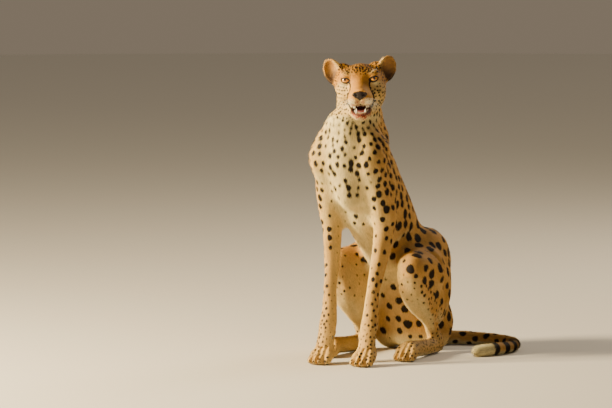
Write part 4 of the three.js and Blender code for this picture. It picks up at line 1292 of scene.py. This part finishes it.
def grown(root, out, way, length, width, lift):
    """The tufts' vertices and normals, four for each: three at the root and the tip."""
    side = unit(np.cross(out, way))
    tip = root + (way * np.cos(lift)[:, None] + out * np.sin(lift)[:, None]) * length[:, None]
    half = (width / 2)[:, None]
    sunk = root - out * 0.35 * MM
    points = np.stack([sunk - side * half, sunk + side * half, sunk + out * (half * 1.1 + 0.2 * MM), tip], axis=1)
    lean = np.stack([-side, side, out, way * 0.2 + out], axis=1)
    return points, unit(out[:, None] + lean * 0.5)


def charted(root, out):
    """A place for each tuft on a flat unwrap of the skin: one chart for each main way it faces, side by side."""
    main = np.argmax(np.abs(out), axis=1)
    chart = main * 2 + (out[np.arange(len(out)), main] > 0)
    flat = np.zeros((len(root), 2))
    boxes = []
    for number in range(6):
        mine = chart == number
        if not mine.any():
            continue
        axes = [a for a in range(3) if a != number // 2]
        place = root[mine][:, axes]
        place = place - place.min(0)
        flat[mine] = place
        boxes.append((place.max(0), mine))
    boxes.sort(key=lambda b: -b[0][1])
    margin = 8 * MM
    total = sum((size[0] + margin) * (size[1] + margin) for size, _ in boxes)
    row = max(1.15 * math.sqrt(total), max(size[0] for size, _ in boxes) + margin)
    x = y = tall = 0.0
    for size, mine in boxes:
        if x + size[0] + margin > row:
            x, y, tall = 0.0, y + tall, 0.0
        flat[mine] += [x, y]
        x, tall = x + size[0] + margin, max(tall, size[1] + margin)
    return 0.004 + flat * (0.99 / max(row, y + tall))


# A tuft's four vertices on its own small patch of the unwrap, about 0.003 across.
PATCH_SHAPE = np.array([[0, 0], [1, 0], [0.5, 0.35], [0.5, 1]]) * 0.003


def add_coat_piece(name, points, normals, root, out, looks, material, random):
    """Some tufts as one piece, with their places on the unwrap, their normals and their looks."""
    count = len(root)
    faces = (TUFT_FACES[None] + np.arange(count)[:, None, None] * 4).reshape(-1, 3)
    mesh = new_mesh(name, points.reshape(-1, 3), faces)
    place = charted(root, out)[:, None] + PATCH_SHAPE
    uv = mesh.uv_layers.new(name="OFBake")
    uv.data.foreach_set("uv", place.reshape(-1, 2)[faces.ravel()].astype(np.float32).ravel())
    # tip: 0 at a tuft's root vertices and 1 at its tip; the coat's painted shade darkens the tufts towards their roots
    # by it
    set_attribute(mesh, "tip", np.tile([0, 0, 0.15, 1.0], count))
    set_attribute(mesh, "tone", np.repeat(random.normal(1.0, 0.11, count).clip(0.65, 1.35), 4))
    looks = {key: values.reshape(count * 4, *values.shape[2:]) for key, values in looks.items()}
    mesh.normals_split_custom_set_from_vertices(normals.reshape(-1, 3).astype(np.float32))
    add_piece(name, mesh, material, "coat", **looks)

# ------------------------------------------------------------------ eyes, teeth, tongue, claws and whiskers


def tube_faces(rings, sides, first=None, last=None):
    """Triangles between rings of points, closed at the ends on the further points first and last."""
    i = np.arange(sides)
    j = (i + 1) % sides
    end = (rings - 1) * sides
    faces = []
    for a in range(0, end, sides):
        b = a + sides
        faces += [[a + i, b + i, b + j], [a + i, b + j, a + j]]
    if first is not None:
        faces.append([np.full(sides, first), i, j])
    if last is not None:
        faces.append([end + i, np.full(sides, last), end + j])
    return np.concatenate([np.stack(corners, axis=1) for corners in faces])


def lathe(profile, turns):
    """Rings of points about the second axis, from pairs of a distance along it and a radius, as points and faces."""
    turn = np.linspace(0, 2 * np.pi, turns, endpoint=False)
    points = [[r * math.cos(t), y, r * math.sin(t)] for y, r in profile[1:-1] for t in turn]
    count = len(points)
    points += [[0, profile[0][0], 0], [0, profile[-1][0], 0]]
    return np.array(points, float), tube_faces(len(profile) - 2, turns, count, count + 1)[:, ::-1]


IRIS = 11.6  # the iris's radius, in mm
PUPIL = 3.3  # the pupil's
CORNEA = 1.3  # how far the cornea stands out of the ball
BALL_SUNK = 0.15  # how far the ball is drawn back from its node


def eye_material():
    """Amber, darker at the rim and streaked from the pupil, under a wet gloss."""
    look = Shading("eye", Roughness=0.12, Coat_Weight=1.0, Coat_Roughness=0.03, Specular_IOR_Level=0.5)
    far, turn = look.attribute("far"), look.attribute("around", "Vector")
    streaks = look.noise(5.0, 4.0, 0.7, turn)
    amber = look.mixed(look.stepped(streaks, 0.35, 0.65), (0.62, 0.19, 0.010), (0.95, 0.46, 0.045))
    inner = look.mixed(look.stepped(far, PUPIL, PUPIL + 2.4, 0.65, 0.0), amber, (0.30, 0.085, 0.006))
    iris = look.mixed(look.stepped(far, IRIS - 2.2, IRIS - 0.2), inner, (0.060, 0.016, 0.003))
    white = look.mixed(look.noise(260.0), (0.12, 0.055, 0.030), (0.26, 0.15, 0.09))
    ball = look.mixed(look.stepped(far, IRIS - 0.3, IRIS + 0.3), iris, white)
    colour = look.mixed(look.stepped(far, PUPIL - 0.25, PUPIL + 0.25, 1.0, 0.0), ball, (0.002, 0.002, 0.002))
    return look.done(colour)


def add_eyes():
    """An eyeball on each side, with a raised cornea."""
    material = eye_material()
    for name, side in SIDES.items():
        profile = []
        for t in np.linspace(0, math.pi, 61):
            far = EYE_RADIUS * math.sin(t)
            lift = CORNEA * max(0.0, 1 - (far / (IRIS + 1)) ** 2) ** 1.5 if t < math.pi / 2 else 0.0
            profile.append((EYE_RADIUS * math.cos(t) - BALL_SUNK + lift, far))
        points, faces = lathe(profile, 72)
        axes = eye_axes(side)
        if side < 0:
            faces = faces[:, ::-1]
        mesh = new_mesh("cheetah_eye_" + name, from_head(points @ axes + EYE_AT * [side, 1, 1]), faces)
        far = np.where(points[:, 1] > 0, np.hypot(points[:, 0], points[:, 2]), 40)
        turn = np.arctan2(points[:, 2], points[:, 0])
        set_attribute(mesh, "far", far)
        set_attribute(mesh, "around", np.stack([np.cos(turn), np.sin(turn), far * 0.03], axis=1) * 1.6, "FLOAT_VECTOR")
        eye = add_piece("cheetah_eye_" + name, mesh, material, "eye")
        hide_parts("eye_" + name)


def horn(base, way, bend, length, radius, steps=9, sides=12, flat=1.0, point=0.12):
    """A tapering curved point, such as a tooth or a claw, from base along way, bent towards bend."""
    way, bend = unit(np.asarray(way, float)), np.asarray(bend, float)
    across = unit(np.cross(way, bend + [1e-6, 2e-6, 3e-6]))
    points = []
    for k in range(steps):
        t = k / (steps - 1)
        middle = np.asarray(base, float) + way * length * t + bend * length * t * t
        forward = unit(way + 2 * bend * t)
        up = np.cross(forward, across)
        r = radius * (point + (1 - point) * (1 - t ** 1.7))
        for turn in np.linspace(0, 2 * np.pi, sides, endpoint=False):
            points.append(middle + across * r * flat * math.cos(turn) + up * r * math.sin(turn))
    tip = len(points)
    points += [np.asarray(base, float) + way * length * 1.02 + bend * length * 1.04, np.asarray(base, float)]
    return np.array(points), tube_faces(steps, sides, tip + 1, tip)


def gathered_outward(parts):
    """Several closed meshes as one, each with its faces turned outwards."""
    points, faces, start = [], [], 0
    for p, f in parts:
        a, b, c = (p[f[:, i]] - p.mean(0) for i in range(3))
        points.append(p)
        faces.append((f if (a * np.cross(b, c)).sum() > 0 else f[:, ::-1]) + start)
        start += len(p)
    return np.concatenate(points), np.concatenate(faces)


def teeth_of(side):
    """The teeth of one side: canines, incisors and cheek teeth, lower and upper."""
    up, down, straight = [0, 0.05, 1], [0, 0.05, -1], [0, 0, 0]
    yield horn([side * 12.6, 88, -84], [side * -0.02, 0.16, 1], [side * 0.03, -0.12, 0], 19, 3.9)
    yield horn([side * 16.5, 85, -53], [side * 0.02, 0.12, -1], [0, -0.14, 0], 14, 4.0)
    for k in range(3):
        incisor = {"flat": 0.85, "point": 0.45}
        across = side * (1.5 + 3.1 * k)
        yield horn([across, 95.0 - 0.5 * k * k, -82], up, straight, 5.0 + 0.5 * k, 1.5, **incisor)
        yield horn([across * 1.1, 93 - 0.6 * k * k, -54.5], down, straight, 4.4 + 0.8 * k, 1.7, **incisor)
    for k in range(3):
        cheek_tooth = {"flat": 0.55, "point": 0.2}
        back, bend = 66 - 11 * k, [0, -0.05, 0]
        yield horn([side * (18.5 + 1.6 * k), back, -82], [0, 0, 1], bend, 12 + 1.5 * k, 4.6, **cheek_tooth)
        yield horn([side * (20.5 + 1.4 * k), back + 3, -54], [0, 0, -1], bend, 11 + 1.5 * k, 4.8, **cheek_tooth)


def add_teeth():
    """All the teeth as one piece, stained at their roots."""
    points, faces = gathered_outward([tooth for side in SIDES.values() for tooth in teeth_of(side)])
    height = points[:, 2]
    root = np.where(height < -67, smooth(-74, -80, height), smooth(-62, -56, height))
    look = Shading("teeth", Roughness=0.22, Specular_IOR_Level=0.5, Coat_Weight=0.3)
    ivory = look.mixed(look.noise(140.0, 3.0), (0.62, 0.52, 0.36), (0.80, 0.74, 0.60))
    look.bumped(look.noise(500.0), 0.15, 0.0004)
    material = look.done(look.mixed(look.attribute("root"), ivory, (0.42, 0.24, 0.12)))
    mesh = new_mesh("cheetah_teeth", from_head(points), faces[:, ::-1])
    add_piece("cheetah_teeth", mesh, material, "teeth", root=root)


def add_tongue():
    """A long grooved tongue that lies on the floor of the mouth."""
    rows, sides = 26, 28
    points = []
    for k in range(rows + 1):
        t = k / rows
        forward = 40 + 53 * t
        half = 15.5 * (1 - max(0.0, (t - 0.55) / 0.45) ** 2.4) ** 0.5 if t < 1 else 0.3
        thick = 5.2 * (1 - 0.55 * t) * (1 if t < 0.9 else 1 - (t - 0.9) * 5)
        middle = -77.5 + 2.2 * math.sin(math.pi * t) + 1.5 * t
        for turn in np.linspace(0, 2 * np.pi, sides, endpoint=False):
            across, up = math.cos(turn), math.sin(turn)
            groove = 1.6 * math.exp(-(across / 0.28) ** 2) * max(up, 0) * (1 - t * 0.5)
            points.append([across * max(half, 0.3), forward, middle + up * thick - groove + 1.6 * across * across])
    count = len(points)
    points += [np.mean(points[:sides], axis=0).tolist(), np.mean(points[-sides:], axis=0).tolist()]
    faces = tube_faces(rows + 1, sides, count, count + 1)[:, ::-1]
    look = Shading("tongue", Roughness=0.34, Specular_IOR_Level=0.5, Subsurface_Weight=0.15, Coat_Weight=0.35)
    pink = look.mixed(look.noise(90.0, 4.0), (0.26, 0.055, 0.048), (0.42, 0.13, 0.11))
    papillae = look.node("TexVoronoi", ("Scale", 900.0)).outputs["Distance"]
    look.bumped(papillae, 0.6, 0.0008)
    tongue = add_piece("cheetah_tongue", new_mesh("cheetah_tongue", from_head(points), faces), look.done(pink), "mouth")
    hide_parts("tongue")


def horn_material(name, dark, pale, roughness):
    """Streaked horn for claws and hairs, paler to the tip."""
    look = Shading(name, Roughness=roughness, Specular_IOR_Level=0.5)
    streaks = look.noise(200.0, 4.0, 0.6)
    look.bumped(streaks, 0.25, 0.0005)
    colour = look.mixed(look.attribute("tipward"), look.mixed(streaks, dark, pale), pale)
    return look.done(colour)


def add_claws():
    """A short worn claw on each toe, and the dew claws."""
    parts = []
    for foot, radius in ((FORE_TOES, 2.7), (HIND_TOES, 2.6)):
        for side in SIDES.values():
            for x, y in toe_tips(foot):
                base = [x * side, y - 6.5, 14.5]
                parts.append(horn(base, [0, -1, -0.22], [0, 0.08, -0.40], 12.5, radius, flat=0.62, point=0.2))
    x, y, z = FORE_TOES[0][0], FORE_TOES[0][1], 48.0
    for side in SIDES.values():
        parts.append(horn([(x - 24) * side, y + 5, z + 34], [-0.2 * side, -0.5, -1], [0, -0.25, 0], 13, 3.2, flat=0.6))
    points, faces = gathered_outward(parts)
    tipward = np.concatenate([np.linspace(0, 1, len(p)) for p, _ in parts])
    mesh = new_mesh("cheetah_claws", from_body(points), faces)
    material = horn_material("claws", (0.018, 0.013, 0.010), (0.10, 0.075, 0.052), 0.34)
    add_piece("cheetah_claws", mesh, material, "claws", tipward=tipward * 0.6)


def add_whiskers(random):
    """Stiff pale hairs from the rows on the muzzle, and a few above the eyes."""
    parts = []

    def add_hair(side, left, up, way, bend, length, radius, steps):
        base = laid_on(head, [[left, up, 0.8, 0.3]])[0][:3]
        parts.append(horn([base[0] * side, *base[1:]], way, bend, length, radius, steps=steps, sides=5, point=0.15))

    for side in SIDES.values():
        for left, up, row, k in WHISKER_ROOTS:
            way = [side * (0.62 + 0.10 * k), 0.42 - 0.20 * k, -0.18 - 0.10 * row + random.uniform(-0.1, 0.1)]
            bend = [side * 0.04, -0.20, -0.20 + random.uniform(-0.06, 0.06)]
            add_hair(side, left, up, way, bend, (30 + 6 * k) * random.uniform(0.7, 1.15), 0.19, 8)
        for k in range(3):
            way, bend = [side * (0.25 + 0.14 * k), 0.9, 0.55], [side * 0.1, -0.3, 0.1]
            add_hair(side, 35 + 3.2 * k, 33 + 0.6 * k, way, bend, 17 + 3 * k, 0.17, 7)
    points, faces = gathered_outward(parts)
    mesh = new_mesh("cheetah_whiskers", from_head(points), faces[:, ::-1])
    material = horn_material("whiskers", (0.62, 0.56, 0.46), (0.86, 0.82, 0.74), 0.4)
    add_piece("cheetah_whiskers", mesh, material, "coat", tipward=np.full(len(points), 0.5))

# ------------------------------------------------------------------ the skin

BODY_TRIANGLES, HEAD_TRIANGLES = 105_000, 85_000
OVERLAP, HALF_GAP = 8, 1.0  # mm past the neck's cut that each surface is kept for, and then cut back to
SEED = 7
COMBING = 24  # rounds of evening out the lie of the coat


def owners_of(points, body, head):
    """The node that each point belongs to."""
    inside = ((points > head.start * head.cell) & (points < (head.start + head.shape - 1) * head.cell)).all(1)
    return np.where(inside, head.nearest(head.owner, points), body.nearest(body.owner, points)).astype(int)


def made_skin(body, head):
    """The skin: the body's surface and the head's finer one, cut flat on each side of the neck's cut and zipped."""
    points, triangles = body.surface()
    body_part = thinned(points, triangles[past_neck(points)[triangles].max(1) > -OVERLAP], BODY_TRIANGLES)
    points, triangles = head.surface()
    head_part = thinned(points, triangles[past_neck(points)[triangles].min(1) < OVERLAP], HEAD_TRIANGLES)
    return zipped(flattened_cut(*body_part, HALF_GAP, True), flattened_cut(*head_part, -HALF_GAP, False))


def look_values(at, spots):
    """The ground colour, the marks and the bare skin of places."""
    leather, mouth = bare_skin(at)
    return {"ground": ground_colour(at), "mark": marks(at, spots)}, leather, mouth


random = np.random.default_rng(SEED)
body = body_grid()
muscle_hollows(body)
throat_latch(body)
paw_details(body)
head = head_grid(body)
LIP_EDGE = head_details(head)
TEAR_PATH = drawn_on(head, TEAR_LINE)
STREAK_PATHS = [
    np.array(laid_on(head, [
        [*a, 0, width * 0.6], [(a[0] + b[0]) / 2, (a[1] + b[1]) / 2, 0, width], [*b, 0, width * 0.4],
    ]))
    for a, b, width in STREAKS
]
skin_points, skin_triangles = made_skin(body, head)
skin_normals = normals_of(skin_points, skin_triangles)
skin_owner = owners_of(skin_points, body, head)
skin_at = Places(skin_points, skin_normals, skin_owner)
skin_edges = edges_of(skin_triangles)
flow = lie_of(skin_at)
for _ in range(COMBING):
    flow = flow + 0.9 * (neighbour_mean(skin_edges, flow) - flow)
flow = unit(flow - skin_normals * (flow * skin_normals).sum(1, keepdims=True))
spot_places, spot_radii, spot_normals = scattered(skin_points, skin_normals, skin_owner, skin_triangles, random)
tree = kdtree.KDTree(len(skin_points))
for i, p in enumerate(skin_points.tolist()):
    tree.insert(p, i)
tree.balance()
nearest = np.array([tree.find(p)[1] for p in spot_places.tolist()])
spots = Spots(spot_places, spot_radii, spot_normals, flow[nearest], random)
looks, leather, mouth = look_values(skin_at, spots)

coat_look, skin_look = coat_material(), skin_material()
skin_mesh = new_mesh("cheetah_skin", skin_points, skin_triangles)
skin = add_piece("cheetah_skin", skin_mesh, skin_look, "coat", leather=leather, mouth=mouth, **looks)
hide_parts(*FLESH)

# ------------------------------------------------------------------ the coat

LIE_WAVE, LENGTH_WAVE = 0.045, 0.022  # metres over which the coat's lie and length vary
LIE_SWING, LENGTH_SWING = 0.16, 0.12  # how much they vary: radians, and a share of the length
MUZZLE_AT = [0, 105, -30]  # in the head: the coat is shorter near it
RUFF_LIFT = 10  # degrees more at the tops of the shoulders
ROOT_LOOK, TIP_LOOK = 0.2, 0.7  # the places along a tuft where the looks of its root and its tip are taken
FLOOR_GAP = 0.4 * MM


def clear_of_bare_skin(places):
    """Which places lie outside the eyes' openings and the nose's leather."""
    p = to_head(places)
    q = (pair(p) - EYE_AT) @ eye_axes().T
    off_eye = (np.linalg.norm(q, axis=1) > EYE_RADIUS + 6) | (q[:, 1] < 0) | (eye_opening(q) > 1.6)
    return off_eye & (nose_leather(p) < 0.3)


def along_tufts(share):
    """Places that lie a share of the way along the tufts."""
    return root + way * (length * share)[:, None]


share = 1.0
root, out, way, owner = sampled(skin_points, skin_triangles, skin_normals, flow, skin_owner, random, share)
way, length, width, lift = combed(root, out, way, owner, random)
at = Places(root, out, owner)
shorter = 1 - 0.5 * smooth(95, 35, np.linalg.norm(at.head - MUZZLE_AT, axis=1)) * at.on_head
lie = LIE_SWING * waves(root, LIE_WAVE, random)
lift = lift + np.radians(RUFF_LIFT) * shoulder_ruff(at)
length = length * shorter * fullness(at) * (1 + LENGTH_SWING * waves(root, LENGTH_WAVE, random))
width = width * np.sqrt(shorter)
way = unit(way * np.cos(lie)[:, None] + np.cross(out, way) * np.sin(lie)[:, None])
near_root, root_leather, root_mouth = look_values(Places(along_tufts(ROOT_LOOK), out, owner), spots)
near_tip, _, _ = look_values(Places(along_tufts(TIP_LOOK), out, owner), spots)
values = {key: np.stack([near_root[key]] * 3 + [near_tip[key]], axis=1) for key in near_root}
keep = (root_leather < 0.4) & (root_mouth < 0.3) & (root[:, 2] > 2 * MM)
keep &= clear_of_bare_skin(root) & clear_of_bare_skin(along_tufts(0.9))
root, out, way, owner, length, width, lift = (v[keep] for v in (root, out, way, owner, length, width, lift))
values = {key: v[keep] for key, v in values.items()}
points, normals = grown(root, out, way, length, width, lift)
points[..., 2] = np.maximum(points[..., 2], FLOOR_GAP)
GROUPS = [  # the coat's pieces and the nodes that each covers
    ("head", ("head", "lower_jaw", "nose", "ear")), ("neck", ("neck",)), ("trunk", ("trunk",)),
    ("haunches", ("thigh",)), ("forelegs", ("forearm", "forepaw")), ("hindlegs", ("shank", "hindfoot")),
    ("tail", ("tail",)),
]
for name, nodes in GROUPS:
    mine = np.flatnonzero(is_one_of(owner, *nodes))
    mine = mine[np.argsort(-root[mine, 2], kind="stable")]
    parts = max(1, math.ceil(len(mine) / PIECE_LIMIT))
    for number, chosen in enumerate(np.array_split(mine, parts), 1):
        add_coat_piece(
            f"coat_{name}_{number}", points[chosen], normals[chosen], root[chosen], out[chosen],
            {key: v[chosen] for key, v in values.items()}, coat_look, random,
        )

add_eyes()
add_teeth()
add_tongue()
add_claws()
add_whiskers(random)


# ------------------------------------------------------------------ camera, light and floor

VIEW_TURN, VIEW_RISE = 25.0, 5.0
LENS = 350.0
SENSOR = 36.0
VIEW_WIDTH = 1.714  # metres across the picture at the animal
EYES_RIGHT, EYES_UP = 0.1504, 0.3497  # of the picture's middle, in metres
HORIZON, SKY = (0.76, 0.61, 0.44), (0.90, 0.80, 0.66)


WORLD_STRENGTH = 0.28
SKY_FROM = 0.35  # the height on the world's sphere from which it has the sky's colour
LIGHTS = [  # name, place, watts, size and colour
    ("key", (-3.2, -3.0, 2.1), 900, 1.2, (1.0, 0.83, 0.52)),
    ("fill", (3.6, -3.0, 2.0), 9, 3.0, (0.92, 0.95, 1.0)),
    ("rim", (1.5, 3.6, 3.0), 110, 2.0, (1.0, 0.88, 0.70)),
]
MIDDLE_HEIGHT = 0.45  # of the place that the lamps look at


def add_camera():
    """The camera, placed by the eyes."""
    a, e = math.radians(VIEW_TURN), math.radians(VIEW_RISE)
    away = np.array([math.sin(a) * math.cos(e), -math.cos(a) * math.cos(e), math.sin(e)])
    right = np.array([math.cos(a), math.sin(a), 0.0])
    up = np.cross(away, right)
    place = EYES_MIDDLE - right * EYES_RIGHT - up * EYES_UP + away * VIEW_WIDTH * LENS / SENSOR
    data = bpy.data.cameras.new("camera")
    data.lens, data.sensor_width, data.clip_end = LENS, SENSOR, 100
    camera = bpy.data.objects.new("camera", data)
    turn = Matrix(np.stack([right, up, away], axis=1).tolist()).to_4x4()
    camera.matrix_world = Matrix.Translation(place.tolist()) @ turn
    bpy.context.scene.collection.objects.link(camera)
    bpy.context.scene.camera = camera


def add_light(name, place, power, size, tint):
    """A square lamp that looks at the middle of the animal."""
    data = bpy.data.lights.new(name, "AREA")
    data.energy, data.size, data.color = power, size, tint
    lamp = bpy.data.objects.new(name, data)
    aim = Vector((0, 0, MIDDLE_HEIGHT)) - Vector(place)
    lamp.matrix_world = Matrix.Translation(place) @ aim.to_track_quat("-Z", "Y").to_matrix().to_4x4()
    bpy.context.scene.collection.objects.link(lamp)


def add_stage():
    """A wide pale floor."""
    rings, spokes, reach = 24, 96, 14.0
    radii = np.linspace(0, 1, rings + 1)[1:] ** 1.5 * reach
    turn = np.linspace(0, 2 * np.pi, spokes, endpoint=False)
    points = [[r * math.cos(t), r * math.sin(t), 0] for r in radii for t in turn] + [[0, 0, 0]]
    fan = tube_faces(rings, spokes, rings * spokes)
    floor = bpy.data.objects.new("floor", new_mesh("floor", points, fan))
    bpy.context.scene.collection.objects.link(floor)
    material = bpy.data.materials.new("floor")
    material.use_nodes = True
    nodes, links = material.node_tree.nodes, material.node_tree.links
    shader = nodes["Principled BSDF"]
    shader.inputs["Roughness"].default_value = 0.85
    noise = nodes.new("ShaderNodeTexNoise")
    noise.inputs["Scale"].default_value = 3.0
    ramp = nodes.new("ShaderNodeValToRGB")
    ramp.color_ramp.elements[0].color = (0.66, 0.60, 0.51, 1)
    ramp.color_ramp.elements[1].color = (0.74, 0.68, 0.59, 1)
    links.new(noise.outputs["Fac"], ramp.inputs["Fac"])
    links.new(ramp.outputs["Color"], shader.inputs["Base Color"])
    floor.data.materials.append(material)


def add_world():
    """A plain pale surround, a little darker at the horizon."""
    world = bpy.data.worlds.new("studio")
    bpy.context.scene.world = world
    world.use_nodes = True
    nodes, links = world.node_tree.nodes, world.node_tree.links
    back = nodes["Background"]
    back.inputs["Strength"].default_value = WORLD_STRENGTH
    place, split = nodes.new("ShaderNodeTexCoord"), nodes.new("ShaderNodeSeparateXYZ")
    ramp = nodes.new("ShaderNodeValToRGB")
    ramp.color_ramp.elements[0].color = (*HORIZON, 1)
    ramp.color_ramp.elements[1].color = (*SKY, 1)
    ramp.color_ramp.elements[1].position = SKY_FROM
    links.new(place.outputs["Generated"], split.inputs[0])
    links.new(split.outputs["Z"], ramp.inputs["Fac"])
    links.new(ramp.outputs["Color"], back.inputs["Color"])


add_camera()
add_stage()
add_world()
for light in LIGHTS:
    add_light(*light)
